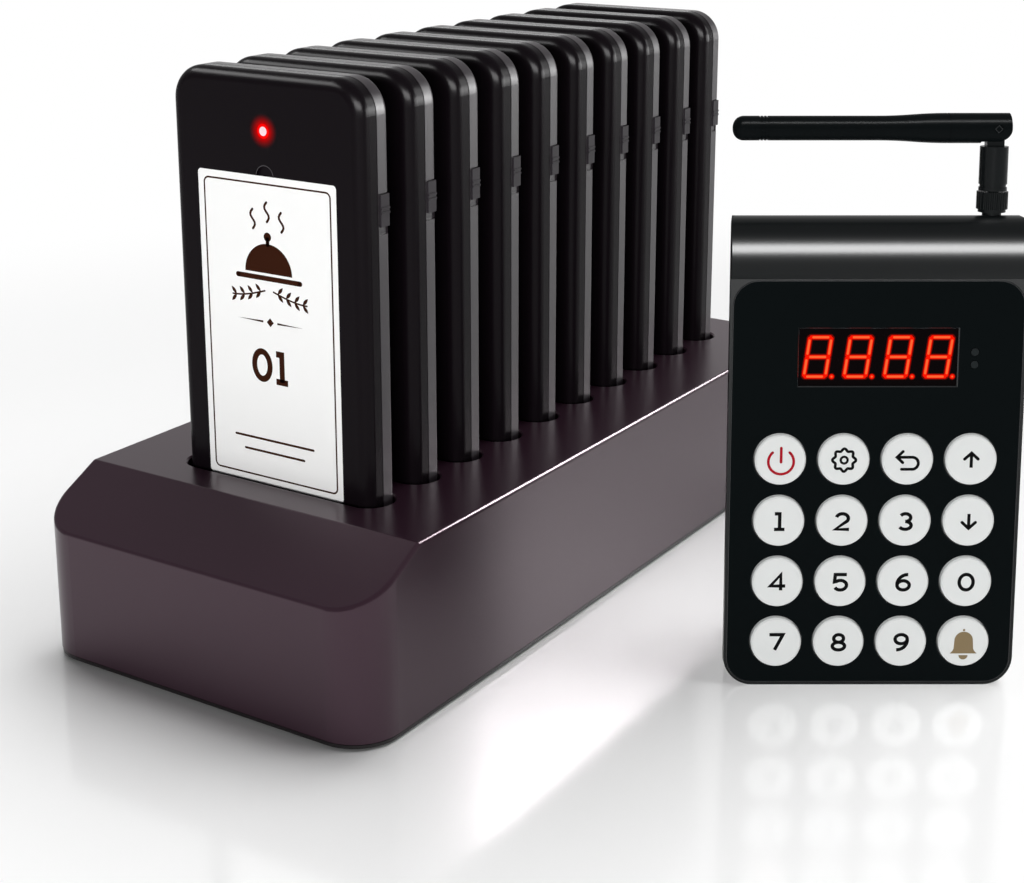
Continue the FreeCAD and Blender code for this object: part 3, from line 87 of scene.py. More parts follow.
class Shader:
    """The nodes of one material, with a Principled BSDF as its surface."""

    def __init__(self, name, **inputs):
        self.material = bpy.data.materials.new(name)
        self.material.use_nodes = True
        self.tree = self.material.node_tree
        self.surface = self.tree.nodes["Principled BSDF"]
        self.output = self.tree.nodes["Material Output"]
        for title, number in inputs.items():
            self.surface.inputs[title.replace("_", " ")].default_value = number

    def node(self, kind, **inputs):
        item = self.tree.nodes.new(kind)
        for title, number in inputs.items():
            item.inputs[title.replace("_", " ")].default_value = number
        return item

    def link(self, start, end):
        self.tree.links.new(start, end)

    def grain(self, scale, strength, distance=0.02 * MM):
        """A fine moulded texture in the surface normal."""
        place = self.node("ShaderNodeTexCoord")
        noise = self.node("ShaderNodeTexNoise", Scale=scale, Detail=2.0)
        bump = self.node("ShaderNodeBump", Strength=strength, Distance=distance)
        self.link(place.outputs["Object"], noise.inputs["Vector"])
        self.link(noise.outputs["Fac"], bump.inputs["Height"])
        self.link(bump.outputs["Normal"], self.surface.inputs["Normal"])
        return self


# The tone curve of a screen: straight near black, a power above it
SCREEN_WHITE = 255
CURVE_START, CURVE_SLOPE = 0.04, 12.92
CURVE_OFFSET, CURVE_SCALE, CURVE_POWER = 0.055, 1.055, 2.4


def linear(share):
    if share <= CURVE_START:
        return share / CURVE_SLOPE
    return ((share + CURVE_OFFSET) / CURVE_SCALE) ** CURVE_POWER


def colour(red, green, blue):
    """A linear colour from the 0 to 255 numbers of a screen."""
    return tuple(linear(c / SCREEN_WHITE) for c in (red, green, blue)) + (1,)


def plastic(name, shade, roughness, specular=0.5, grain=None, tint=None):
    """A moulded plastic. The grain is the scale and strength of its texture, the tint that of its shine."""
    shader = Shader(name, Base_Color=colour(*shade), Roughness=roughness, Specular_IOR_Level=specular)
    if grain:
        shader.grain(*grain)
    if tint:
        shader.surface.inputs["Specular Tint"].default_value = colour(*tint)
    return shader.material


def glowing(name, shade, strength):
    """A surface that only gives light, in one colour."""
    shader = Shader(name, Base_Color=colour(0, 0, 0), Roughness=0.5, Specular_IOR_Level=0.0)
    shader.surface.inputs["Emission Color"].default_value = colour(*shade)
    shader.surface.inputs["Emission Strength"].default_value = strength
    return shader.material


LAMP_GLOW_RADIUS = 5.2 * MM
HALO_START_SHARE = 0.22
HALO_FADE_POWER = 2.2


def halo(name, radius):
    """Light that fades out from the middle of a disc."""
    shader = Shader(name)
    shader.tree.nodes.remove(shader.surface)
    place = shader.node("ShaderNodeTexCoord")
    distance = shader.node("ShaderNodeVectorMath")
    distance.operation = "LENGTH"
    fade = shader.node("ShaderNodeMapRange")
    fade.inputs["From Min"].default_value = radius * HALO_START_SHARE
    fade.inputs["From Max"].default_value = radius
    fade.inputs["To Min"].default_value = 1.0
    fade.inputs["To Max"].default_value = 0.0
    power = shader.node("ShaderNodeMath")
    power.operation = "POWER"
    power.inputs[1].default_value = HALO_FADE_POWER
    light = shader.node("ShaderNodeEmission", Color=colour(255, 0, 0), Strength=1.0)
    clear = shader.node("ShaderNodeBsdfTransparent")
    mix = shader.node("ShaderNodeMixShader")
    shader.link(place.outputs["Object"], distance.inputs[0])
    shader.link(distance.outputs["Value"], fade.inputs["Value"])
    shader.link(fade.outputs["Result"], power.inputs[0])
    shader.link(power.outputs["Value"], mix.inputs["Fac"])
    shader.link(clear.outputs["BSDF"], mix.inputs[1])
    shader.link(light.outputs["Emission"], mix.inputs[2])
    shader.link(mix.outputs["Shader"], shader.output.inputs["Surface"])
    return shader.material


# Each plastic has its screen colour, its roughness and the level of its shine
DOCK_SHELL = plastic("dock shell", (35, 17, 28), 0.28, 0.7, tint=(255, 226, 240))
DOCK_BASE = plastic("dock base", (14, 10, 12), 0.3)
RUBBER = plastic("rubber", (20, 20, 20), 0.8)
STEEL = Shader("steel", Base_Color=colour(170, 170, 172), Metallic=1.0, Roughness=0.35).material
SOLDER_MASK = plastic("solder mask", (14, 60, 34), 0.4)
NYLON = plastic("nylon", (16, 16, 16), 0.45)
PAGER_FRONT = plastic("pager front", (15, 10, 14), 0.26, 0.07)
PAGER_REAR = plastic("pager rear", (46, 41, 45), 0.34, 0.45)
PAGER_SWITCH = plastic("pager switch", (50, 46, 50), 0.4, 0.4)
PAPER = plastic("paper", (254, 254, 253), 0.5, 0.2)
PRINT = plastic("brown print", (54, 26, 14), 0.6, 0.03)
THUMB_LINE = plastic("thumb line", (84, 80, 84), 0.3, 0.2)
LAMP_RING = glowing("lamp ring", (255, 8, 8), 1.0)
LAMP_CORE = glowing("lamp core", (255, 222, 228), 1.0)
LAMP_GLOW = halo("lamp glow", LAMP_GLOW_RADIUS)
KEYPAD_SHELL = plastic("keypad shell", (11, 14, 15), 0.28, 0.18, grain=(4000.0, 0.1))
KEYPAD_FACE = plastic("keypad face", (13, 17, 18), 0.45, 0.005)
TRIM = plastic("polished trim", (30, 32, 34), 0.12, 0.6)
DISPLAY = plastic("display filter", (9, 5, 6), 0.2, 0.02)
SEGMENT_GLOW = glowing("segment glow", (112, 10, 6), 1.0)
SEGMENT_EDGE = glowing("segment edge", (250, 22, 4), 1.0)
SEGMENT_CORE = glowing("segment core", (255, 104, 52), 1.0)
INDICATOR = plastic("indicator lens", (36, 40, 41), 0.4, 0.01)
KEY_WHITE = plastic("key white", (222, 224, 223), 0.4, 0.05)
INK = plastic("key ink", (14, 14, 15), 0.5, 0.05)
RED_INK = plastic("red ink", (165, 18, 34), 0.5, 0.05)
TAN_INK = plastic("tan ink", (133, 116, 88), 0.5, 0.05)
ANTENNA_METAL = plastic("antenna metal", (15, 18, 19), 0.26, 0.2)
ANTENNA_SLEEVE = plastic("antenna sleeve", (13, 16, 17), 0.25, 0.02)

NODE_MATERIALS = {
    "dock_housing": DOCK_SHELL, "dock_bottom_plate": DOCK_BASE, "dock_feet": RUBBER, "dock_screws": STEEL,
    "dock_contact_board": SOLDER_MASK, "dock_power_socket": NYLON, "keypad_front_cover": KEYPAD_SHELL,
    "keypad_rear_cover": KEYPAD_SHELL, "keypad_face_panel": KEYPAD_FACE, "keypad_display_module": DISPLAY,
    "keypad_circuit_board": SOLDER_MASK, "antenna_connector": ANTENNA_METAL, "antenna_swivel": ANTENNA_METAL,
    "antenna_arm": ANTENNA_SLEEVE,
}


def paint_nodes():
    """Give every CAD node its material."""
    for name, item in frame["nodes"].items():
        if name.startswith("key_"):
            material = KEY_WHITE
        elif name.endswith("front_half"):
            material = PAGER_FRONT
        elif name.endswith("rear_half"):
            material = PAGER_REAR
        elif name.endswith("switch"):
            material = PAGER_SWITCH
        else:
            material = NODE_MATERIALS[name]
        item.data.materials.clear()
        item.data.materials.append(material)


# Flat prints, drawn in millimetres across and up


def arc(across, up, radius, start, end, steps=24, squeeze=1.0):
    """Points of an arc between two angles in degrees. A squeeze makes it narrower than it is high."""
    angles = [math.radians(start + (end - start) * k / steps) for k in range(steps + 1)]
    return [(across + radius * squeeze * math.cos(a), up + radius * math.sin(a)) for a in angles]


ROUND_POINTS, FINE_POINTS = 24, 36


def disc(across, up, radius, points=ROUND_POINTS):
    """The outline of a full circle."""
    return arc(across, up, radius, 0, 360 - 360 / points, points - 1)


CORNER_STEPS = 8


def rounded(width, height, radius, middle=(0, 0)):
    """The outline of a rectangle with rounded corners."""
    x, y = width / 2 - radius, height / 2 - radius
    places = [(x, y, 0), (-x, y, 90), (-x, -y, 180), (x, -y, 270)]
    return [point for cx, cy, start in places
            for point in arc(middle[0] + cx, middle[1] + cy, radius, start, start + 90, CORNER_STEPS)]


# The least cosine of half a turn in a path, so that a corner doesn't grow a spike
SHARPEST_TURN = 0.5


class Sheet:
    """Flat shapes in one plane, gathered into one mesh."""

    def __init__(self):
        self.points = []
        self.faces = []

    def fill(self, outline):
        start = len(self.points)
        self.points += outline
        self.faces.append(list(range(start, start + len(outline))))
        return self

    def stroke(self, path, width, closed=False, round_ends=True):
        """A band of even width along a path."""
        way = [Vector(point) for point in path]
        count = len(way)
        start = len(self.points)
        for k, point in enumerate(way):
            before = way[k - 1] if k or closed else point
            after = way[(k + 1) % count] if k < count - 1 or closed else point
            into = (point - before).normalized() if point != before else (after - point).normalized()
            out = (after - point).normalized() if after != point else into
            bisector = Vector((-(into.y + out.y), into.x + out.x)).normalized()
            reach = width / 2 / max(bisector.dot(Vector((-into.y, into.x))), SHARPEST_TURN)
            self.points += [tuple(point + bisector * reach), tuple(point - bisector * reach)]
        for k in range(count if closed else count - 1):
            a, b = start + 2 * k, start + 2 * ((k + 1) % count)
            self.faces.append([a, a + 1, b + 1, b])
        if round_ends and not closed:
            for k in (0, -1):
                self.fill(disc(way[k].x, way[k].y, width / 2))
        return self

    def moved(self, across, up, size=1.0):
        """A copy at another place and size."""
        other = Sheet()
        other.points = [(x * size + across, y * size + up) for x, y in self.points]
        other.faces = [list(face) for face in self.faces]
        return other


def make_object(name, points, faces, axes, material, body, smooth=False, middle=None):
    """A mesh from points in metres along the axes, riding on a body."""
    mesh = bpy.data.meshes.new(name)
    origin = Vector(middle) if middle else Vector()
    mesh.from_pydata([Vector(point) - origin for point in points], [], faces)
    mesh.update()
    if smooth:
        mesh.shade_smooth()
    mesh.materials.append(material)
    item = bpy.data.objects.new(name, mesh)
    scene.collection.objects.link(item)
    item.matrix_world = axes @ Matrix.Translation(origin)
    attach(item, body)
    return item


def lay(sheet, name, middle, axes, material, body):
    """Lay a sheet with its zero at the middle, a place in metres along the axes."""
    points = [(middle[0] + x * MM, middle[1], middle[2] + y * MM) for x, y in sheet.points]
    return make_object(name, points, sheet.faces, axes, material, body, middle=middle)


def bead(name, path, radius, axes, material, body, sides=8):
    """A thin round bead along a closed path of (across, inward, up) places in metres."""
    points, faces = [], []
    count = len(path)
    for k, place in enumerate(path):
        here = Vector(place)
        along = (Vector(path[(k + 1) % count]) - Vector(path[k - 1])).normalized()
        outward = Vector((0, 1, 0)).cross(along).normalized()
        for side in range(sides):
            angle = 2 * math.pi * side / sides
            points.append(here + (outward * math.cos(angle) + Vector((0, 1, 0)) * math.sin(angle)) * radius)
    for k in range(count):
        for side in range(sides):
            a, b = k * sides, ((k + 1) % count) * sides
            c = (side + 1) % sides
            faces.append([a + side, a + c, b + c, b + side])
    return make_object(name, points, faces, axes, material, body, smooth=True)


# Digits in strokes, one unit high

SAME_PLACE = 1e-6


def digit_paths(digit):
    """The strokes of a digit in a box one unit high, with its middle at zero across."""
    nine_side = [(-x, 1 - y) for x, y in arc(0.2, 0.36, 0.555, 180, 88, 12, 0.88)]
    paths = {
        "0": [arc(0, 0.5, 0.42, 0, 360, 36, 0.76)],
        "1": [[(-0.2, 0.92), (0.03, 0.92), (0.03, 0.08)], [(-0.22, 0.08), (0.26, 0.08)]],
        "2": [arc(0, 0.67, 0.25, 165, -35, 16, 1.1) + [(-0.31, 0.08), (0.32, 0.08)]],
        "3": [arc(-0.01, 0.71, 0.21, 150, -90, 16, 1.15) + arc(-0.01, 0.29, 0.21, 90, -155, 16, 1.3)],
        "4": [[(0.15, 0.06), (0.15, 0.92), (-0.33, 0.3), (0.36, 0.3)]],
        "5": [[(0.29, 0.92), (-0.24, 0.92), (-0.27, 0.52)] + arc(0, 0.34, 0.26, 128, -150, 18, 1.1)],
        "6": [arc(0, 0.33, 0.25, 0, 360, 28, 1.12), arc(0.2, 0.36, 0.555, 180, 88, 12, 0.88)],
        "7": [[(-0.31, 0.92), (0.31, 0.92), (-0.06, 0.08)]],
        "8": [arc(0, 0.71, 0.21, 0, 360, 24, 1.08), arc(0, 0.29, 0.21, 0, 360, 24, 1.35)],
        "9": [arc(0, 0.67, 0.25, 0, 360, 28, 1.12), nine_side],
    }
    return paths[digit]


def number(text, height, pitch_share, stroke_share, breadth_share):
    """A number in stroked digits, in the middle of its place. The shares are of its height."""
    sheet = Sheet()
    for k, digit in enumerate(text):
        across = (k - (len(text) - 1) / 2) * pitch_share
        for path in digit_paths(digit):
            closed = math.dist(path[0], path[-1]) < SAME_PLACE
            way = path[:-1] if closed else path
            points = [((x * breadth_share + across) * height, (y - 0.5) * height) for x, y in way]
            sheet.stroke(points, height * stroke_share, closed=closed, round_ends=False)
    return sheet


# Pagers

PRINT_LIFT = 0.02 * MM
CARD_WIDTH, CARD_HEIGHT, CARD_CORNER = 50.2, 92.0, 1.2
CARD_TOP_BELOW_PAGER = 29.3
CARD_FACE_BELOW = 0.3 * MM
BORDER_INSET, BORDER_CORNER, BORDER_WIDTH = 2.25, 1.6, 0.52
LAMP_BELOW_PAGER = 16.5
LAMP_RADIUS, LAMP_CORE_RADIUS = 2.1, 1.3
THUMB_RADIUS, THUMB_LINE_WIDTH = 3.1, 0.16
NUMBER_UP, NUMBER_HEIGHT = -9.6, 9.8
NUMBER_PITCH, NUMBER_STROKE, NUMBER_BREADTH = 0.72, 0.19, 0.92

# The card's design, with heights from its middle
DOME_BASE, DOME_RADIUS, DOME_STEPS = 18.0, 8.6, 30
TRAY_HALF, TRAY_DROP, TRAY_WIDTH = 11.4, 1.5, 1.5
NECK_LOW, NECK_HIGH, NECK_WIDTH = 8.4, 10.0, 1.3
KNOB_UP, KNOB_RADIUS = 10.6, 1.35
STEAM_PLACES, STEAM_POINTS, STEAM_WIDTH = (-5.2, 0, 5.2), 10, 0.75
STEAM_MIDDLE_UP, STEAM_SIDE_UP = 15.0, 12.6
STEAM_SWING, STEAM_TURN, STEAM_STEP = 0.8, 0.7, 0.62
SPRIG_START, SPRIG_STEP, SPRIG_POINTS, SPRIG_WIDTH = 1.6, 1.5, 9, 0.5
SPRIG_DROP, SPRIG_SAG, SPRIG_WAVE_STEPS = 5.2, 2.4, 16
LEAF_LENGTH, LEAF_LEAN, LEAF_HALF_SHARE = 2.9, 48, 0.19
LEAF_STATIONS = (0.12, 0.3, 0.5, 0.7, 0.88)
DIVIDER_UP, DIAMOND_REACH = 3.6, 1.3
SPIKE_START, SPIKE_END, SPIKE_HALF = 2.6, 12.0, 0.3
RULES, RULE_WIDTH = ((-32.2, 14.5), (-36.0, 11.0)), 0.7


def leaf(across, up, length, angle):
    """The outline of a pointed leaf from its stem end."""
    side = [(length * t, LEAF_HALF_SHARE * length * math.sin(math.pi * t)) for t in LEAF_STATIONS]
    outline = [(0, 0)] + side + [(length, 0)] + [(x, -y) for x, y in reversed(side)]
    turn = math.radians(angle)
    return [(across + x * math.cos(turn) - y * math.sin(turn), up + x * math.sin(turn) + y * math.cos(turn))
            for x, y in outline]


def card_print():
    """A border, a steaming serving dome between two sprigs, a divider and plain rules."""
    sheet = Sheet()
    sheet.stroke(rounded(CARD_WIDTH - 2 * BORDER_INSET, CARD_HEIGHT - 2 * BORDER_INSET, BORDER_CORNER),
                 BORDER_WIDTH, closed=True)
    # The dome, its tray and its knob
    base = DOME_BASE
    sheet.fill(arc(0, base, DOME_RADIUS, 0, 180, DOME_STEPS))
    sheet.stroke([(-TRAY_HALF, base - TRAY_DROP), (TRAY_HALF, base - TRAY_DROP)], TRAY_WIDTH)
    sheet.stroke([(0, base + NECK_LOW), (0, base + NECK_HIGH)], NECK_WIDTH)
    sheet.fill(disc(0, base + KNOB_UP, KNOB_RADIUS))
    # Steam
    for across in STEAM_PLACES:
        foot = base + (STEAM_MIDDLE_UP if across == 0 else STEAM_SIDE_UP)
        wisp = [(across + STEAM_SWING * math.sin(k * STEAM_TURN), foot + k * STEAM_STEP)
                for k in range(STEAM_POINTS)]
        sheet.stroke(wisp, STEAM_WIDTH)
    # Two sprigs under the tray
    for side in (-1, 1):
        stem = [(side * (SPRIG_START + k * SPRIG_STEP),
                 base - SPRIG_DROP - SPRIG_SAG * math.sin(math.pi * k / SPRIG_WAVE_STEPS))
                for k in range(SPRIG_POINTS)]
        sheet.stroke(stem, SPRIG_WIDTH)
        for x, y in stem[1::2]:
            for lean in (LEAF_LEAN, -LEAF_LEAN):
                sheet.fill(leaf(x, y, LEAF_LENGTH, lean if side > 0 else 180 - lean))
    # A divider with a diamond
    level, reach = DIVIDER_UP, DIAMOND_REACH
    sheet.fill([(-reach, level), (0, level - reach), (reach, level), (0, level + reach)])
    for side in (-1, 1):
        sheet.fill([(side * SPIKE_START, level + SPIKE_HALF), (side * SPIKE_START, level - SPIKE_HALF),
                    (side * SPIKE_END, level)])
    # Plain rules in two lengths
    for up, half in RULES:
        sheet.stroke([(-half, up), (half, up)], RULE_WIDTH)
    return sheet


def dress_pagers():
    """Give each pager its printed card, its lit lamp and the line of its thumb notch."""
    artwork = card_print()
    for name in PAGERS:
        low, high = extent(name + "_front_half")
        middle = (low.x + high.x) / 2
        top = high.z
        face = low.y
        card_middle = top - (CARD_TOP_BELOW_PAGER + CARD_HEIGHT / 2) * MM
        card = (middle, face + CARD_FACE_BELOW - PRINT_LIFT, card_middle)
        printed = (card[0], card[1] - PRINT_LIFT, card[2])
        paper = Sheet().fill(rounded(CARD_WIDTH, CARD_HEIGHT, CARD_CORNER))
        lay(paper, name + "_card", card, UPRIGHT, PAPER, name)
        lay(artwork, name + "_card_print", printed, UPRIGHT, PRINT, name)
        digits = number(name[-2:], NUMBER_HEIGHT, NUMBER_PITCH, NUMBER_STROKE, NUMBER_BREADTH)
        lay(digits.moved(0, NUMBER_UP), name + "_card_number", printed, UPRIGHT, PRINT, name)
        lamp = Vector((middle, face - PRINT_LIFT, top - LAMP_BELOW_PAGER * MM))
        glow = Sheet().fill(disc(0, 0, LAMP_GLOW_RADIUS / MM, FINE_POINTS))
        lay(glow, name + "_lamp_glow", lamp, UPRIGHT, LAMP_GLOW, name)
        ring = Sheet().fill(disc(0, 0, LAMP_RADIUS, FINE_POINTS))
        lay(ring, name + "_lamp_ring", lamp - Vector((0, PRINT_LIFT, 0)), UPRIGHT, LAMP_RING, name)
        core = Sheet().fill(disc(0, 0, LAMP_CORE_RADIUS, FINE_POINTS))
        lay(core, name + "_lamp_core", lamp - Vector((0, 2 * PRINT_LIFT, 0)), UPRIGHT, LAMP_CORE, name)
        notch = Sheet().stroke(arc(0, CARD_HEIGHT / 2, THUMB_RADIUS, 0, 180), THUMB_LINE_WIDTH)
        on_face = (card[0], face - PRINT_LIFT, card[2])
        lay(notch, name + "_thumb_line", on_face, UPRIGHT, THUMB_LINE, name)


# Keypad

WINDOW_BELOW_PANEL = 0.7 * MM
WINDOW_WIDTH, WINDOW_HEIGHT, WINDOW_BEVEL = 45.1 * MM, 17.0 * MM, 0.3 * MM
DISPLAY_GAP = 0.25 * MM
DIGITS, DIGIT_PITCH, DIGIT_LEFT, DIGIT_BASE = 4, 11.3, 1.2, 2.3
DIGIT_HEIGHT, DIGIT_WIDTH, DIGIT_SLANT, SEGMENT_WIDTH = 12.5, 7.3, 0.13, 1.25
DOT_RADIUS, DOT_GAP = 0.7, 1.2
# Each layer's name, stroke width, gap at both ends of a stroke, share of the dot's radius and material
SEGMENT_LAYERS = (
    ("glow", 1.75, 0.3, 1.35, SEGMENT_GLOW),
    ("edge", 1.15, 0.45, 1.0, SEGMENT_EDGE),
    ("core", 0.6, 0.95, 0.4, SEGMENT_CORE),
)
INDICATOR_RADIUS, INDICATOR_LENS_SHARE = 1.12 * MM, 0.96
INDICATOR_RISES = (6.45, 10.05)


def segment_lines():
    """The seven strokes of a segment digit, from the digit's lower left corner."""
    inset = SEGMENT_WIDTH / 2
    left, right = inset, DIGIT_WIDTH - inset
    low, high = inset, DIGIT_HEIGHT - inset
    middle = (low + high) / 2
    return [((left, low), (right, low)), ((left, middle), (right, middle)), ((left, high), (right, high)),
            ((left, low), (left, middle)), ((right, low), (right, middle)),
            ((left, middle), (left, high)), ((right, middle), (right, high))]


def segment_digit(width, gap, dot):
    """One lit digit with its dot. The gap shortens each stroke at both ends."""
    sheet = Sheet()
    for start, end in segment_lines():
        a, b = Vector(start), Vector(end)
        along = (b - a).normalized() * gap
        path = [(p.x + p.y * DIGIT_SLANT, p.y) for p in (a + along, b - along)]
        sheet.stroke(path, width)
    return sheet.fill(disc(DIGIT_WIDTH + DOT_GAP, SEGMENT_WIDTH / 2, dot))


def window_edges():
    """Lower left and upper right corner of the display window, across and up along the keypad."""
    low, high = extent("keypad_display_module", KEYPAD)
    # The display block is smaller than the window by a gap, and reaches past it to the indicators
    left = low.x - DISPLAY_GAP
    top = high.z + DISPLAY_GAP
    return (left, top - WINDOW_HEIGHT), (left + WINDOW_WIDTH, top)


def dress_display():
    """The lit digits behind the window, and the window's bevelled rim."""
    face = extent("keypad_face_panel", KEYPAD)[0].y
    (left, low), (right, high) = window_edges()
    plate = face + WINDOW_BELOW_PANEL - PRINT_LIFT
    for k in range(DIGITS):
        across, up = left + (DIGIT_LEFT + DIGIT_PITCH * k) * MM, low + DIGIT_BASE * MM
        for step, (part, width, gap, dot_share, material) in enumerate(SEGMENT_LAYERS):
            digit = segment_digit(width, gap, DOT_RADIUS * dot_share)
            name = "display_digit_%d_%s" % (k + 1, part)
            lay(digit, name, (across, plate - step * PRINT_LIFT, up), KEYPAD, material, "keypad")
    bevel = WINDOW_BEVEL
    rim = [(left, low), (right, low), (right, high), (left, high)]
    inner = [(left + bevel, low + bevel), (right - bevel, low + bevel),
             (right - bevel, high - bevel), (left + bevel, high - bevel)]
    points = [(x, face - PRINT_LIFT, z) for x, z in rim] + [(x, face + bevel, z) for x, z in inner]
    faces = [[k, (k + 1) % 4, (k + 1) % 4 + 4, k + 4] for k in range(4)]
    make_object("window_bevel", points, faces, KEYPAD, TRIM, "keypad")


def dress_indicators():
    """The lenses of the two indicator lamps beside the window."""
    across = extent("keypad_display_module", KEYPAD)[1].x - INDICATOR_RADIUS
    face = extent("keypad_face_panel", KEYPAD)[0].y
    window_low = window_edges()[0][1]
    lens = Sheet().fill(disc(0, 0, INDICATOR_RADIUS / MM * INDICATOR_LENS_SHARE))
    for k, rise in enumerate(INDICATOR_RISES, start=1):
        middle = (across, face - PRINT_LIFT, window_low + rise * MM)
        lay(lens, "indicator_lens_%d" % k, middle, KEYPAD, INDICATOR, "keypad")


def outline_path(low, high, radius, depth):
    """A rounded rectangle on the face, as places along the keypad in metres."""
    width, height = (high.x - low.x) / MM, (high.z - low.z) / MM
    middle = ((low.x + high.x) / 2 / MM, (low.z + high.z) / 2 / MM)
    return [(x * MM, depth, z * MM) for x, z in rounded(width, height, radius, middle)]


PANEL_CORNER = 7.1
PANEL_BEAD = 0.14 * MM


def dress_panel():
    """A fine polished bead round the face panel."""
    low, high = extent("keypad_face_panel", KEYPAD)
    bead("panel_edge", outline_path(low, high, PANEL_CORNER, low.y), PANEL_BEAD, KEYPAD, TRIM, "keypad")


ARROW_LOW, ARROW_HIGH, ARROW_SHAFT_WIDTH = -2.3, 1.95, 0.95
ARROW_TIP, ARROW_WING_UP, ARROW_WING_OUT, ARROW_HEAD_WIDTH = 2.1, 0.3, 1.95, 0.92
POWER_MIDDLE, POWER_RADIUS, POWER_RING_WIDTH = (0.15, -0.5), 3.7, 0.78
POWER_FROM, POWER_TO, POWER_STEPS = 132, 408, 40
POWER_BAR_HIGH, POWER_BAR_LOW, POWER_BAR_WIDTH = 3.6, -0.6, 0.8
GEAR_RADIUS, GEAR_TOOTH, GEAR_TEETH, GEAR_POINTS, GEAR_WIDTH = 3.08, 0.34, 8, 96, 0.82
GEAR_HOLE_RADIUS, GEAR_HOLE_WIDTH = 1.0, 0.72
RETURN_WIDTH, RETURN_STEPS = 0.88, 18
BELL_SKIRT = ((-2.9, -2.0), (-3.25, -2.7), (-4.0, -3.5), (4.0, -3.5), (3.25, -2.7), (2.9, -2.0))
BELL_SHOULDER_UP, BELL_RADIUS = 0.5, 2.75
BELL_KNOB_UP, BELL_KNOB_RADIUS = 3.75, 0.36
CLAPPER_UP, CLAPPER_RADIUS, CLAPPER_STEPS = -4.0, 1.35, 16


def arrow(up_sign):
    """An arrow that points up for 1 and down for -1."""
    sheet = Sheet()
    sheet.stroke([(0, ARROW_LOW * up_sign), (0, ARROW_HIGH * up_sign)], ARROW_SHAFT_WIDTH, round_ends=False)
    wing = ARROW_WING_UP * up_sign
    head = [(-ARROW_WING_OUT, wing), (0, ARROW_TIP * up_sign), (ARROW_WING_OUT, wing)]
    return sheet.stroke(head, ARROW_HEAD_WIDTH)


def power_symbol():
    """A broken ring with a bar in its gap."""
    across, up = POWER_MIDDLE
    ring = arc(across, up, POWER_RADIUS, POWER_FROM, POWER_TO, POWER_STEPS)
    sheet = Sheet().stroke(ring, POWER_RING_WIDTH)
    return sheet.stroke([(across, POWER_BAR_HIGH), (across, POWER_BAR_LOW)], POWER_BAR_WIDTH)


def gear_symbol():
    """A wavy rim round a small ring."""
    angles = [2 * math.pi * k / GEAR_POINTS for k in range(GEAR_POINTS)]
    reach = [GEAR_RADIUS + GEAR_TOOTH * math.cos(GEAR_TEETH * a) for a in angles]
    rim = [(r * math.cos(a), r * math.sin(a)) for r, a in zip(reach, angles)]
    sheet = Sheet().stroke(rim, GEAR_WIDTH, closed=True)
    return sheet.stroke(disc(0, 0, GEAR_HOLE_RADIUS), GEAR_HOLE_WIDTH, closed=True)


def return_symbol():
    """An arrow that turns back to the left."""
    bend = arc(1.3, -0.95, 1.8, 90, -90, RETURN_STEPS)
    sheet = Sheet().stroke([(-2.9, 0.85)] + bend + [(-1.7, -2.75)], RETURN_WIDTH)
    return sheet.stroke([(-1.45, 2.55), (-3.15, 0.85), (-1.45, -0.75)], RETURN_WIDTH)


def bell_symbol():
    """A hand bell with its knob and clapper."""
    dome = arc(0, BELL_SHOULDER_UP, BELL_RADIUS, 0, 180)
    sheet = Sheet().fill(dome + list(BELL_SKIRT))
    sheet.fill(disc(0, BELL_KNOB_UP, BELL_KNOB_RADIUS))
    return sheet.fill(arc(0, CLAPPER_UP, CLAPPER_RADIUS, 180, 360, CLAPPER_STEPS))


KEY_SYMBOLS = {
    "key_power": (power_symbol, RED_INK),
    "key_settings": (gear_symbol, INK),
    "key_return": (return_symbol, INK),
    "key_up": (lambda: arrow(1), INK),
    "key_down": (lambda: arrow(-1), INK),
    "key_call": (bell_symbol, TAN_INK),
}
# A key number's height, and its pitch, stroke and breadth as shares of that
KEY_NUMBER = 5.45, 0.92, 0.185, 1.14
SYMBOL_SIZE_SHARE = 0.97
KEY_RADIUS = 7.2 * MM
KEY_RIM_GAP, KEY_RIM_BEAD = 0.35 * MM, 0.09 * MM
KEY_RIM_POINTS, KEY_RIM_SIDES = 72, 6


def dress_keys():
    """The symbol on each key, and a fine bead round its hole in the panel."""
    face = extent("keypad_face_panel", KEYPAD)[0].y
    rim = disc(0, 0, (KEY_RADIUS + KEY_RIM_GAP) / MM, KEY_RIM_POINTS)
    for name in KEYS:
        low, high = extent(name, KEYPAD)
        middle = ((low.x + high.x) / 2, low.y - PRINT_LIFT, (low.z + high.z) / 2)
        if name in KEY_SYMBOLS:
            draw, ink = KEY_SYMBOLS[name]
            lay(draw().moved(0, 0, SYMBOL_SIZE_SHARE), name + "_symbol", middle, KEYPAD, ink, name)
        else:
            lay(number(name[-1], *KEY_NUMBER), name + "_symbol", middle, KEYPAD, INK, name)
        ring = [(middle[0] + x * MM, face, middle[2] + z * MM) for x, z in rim]
        bead(name + "_rim", ring, KEY_RIM_BEAD, KEYPAD, TRIM, "keypad", KEY_RIM_SIDES)


# Antenna

MARK_REACH, MARK_WIDTH = 1.0, 0.2


def dress_antenna():
    """The diamond mark on the hinge pin's head."""
    hinge = Vector(JOINTS["antenna_tilt"]["pos_m"])
    place = KEYPAD.inverted() @ hinge
    front = extent("antenna_arm", KEYPAD)[0].y
    diamond = [(-MARK_REACH, 0), (0, -MARK_REACH), (MARK_REACH, 0), (0, MARK_REACH)]
    mark = Sheet().stroke(diamond, MARK_WIDTH, closed=True)
    lay(mark, "hinge_pin_mark", (place.x, front - PRINT_LIFT, place.z), KEYPAD, TRIM, "antenna_arm")


# Camera, lights and floor

PHOTO_WIDTH = 1024
FOCAL_PIXELS = 1818.2
SENSOR_MM = 36.0
DOCK_WIDTH = 0.122
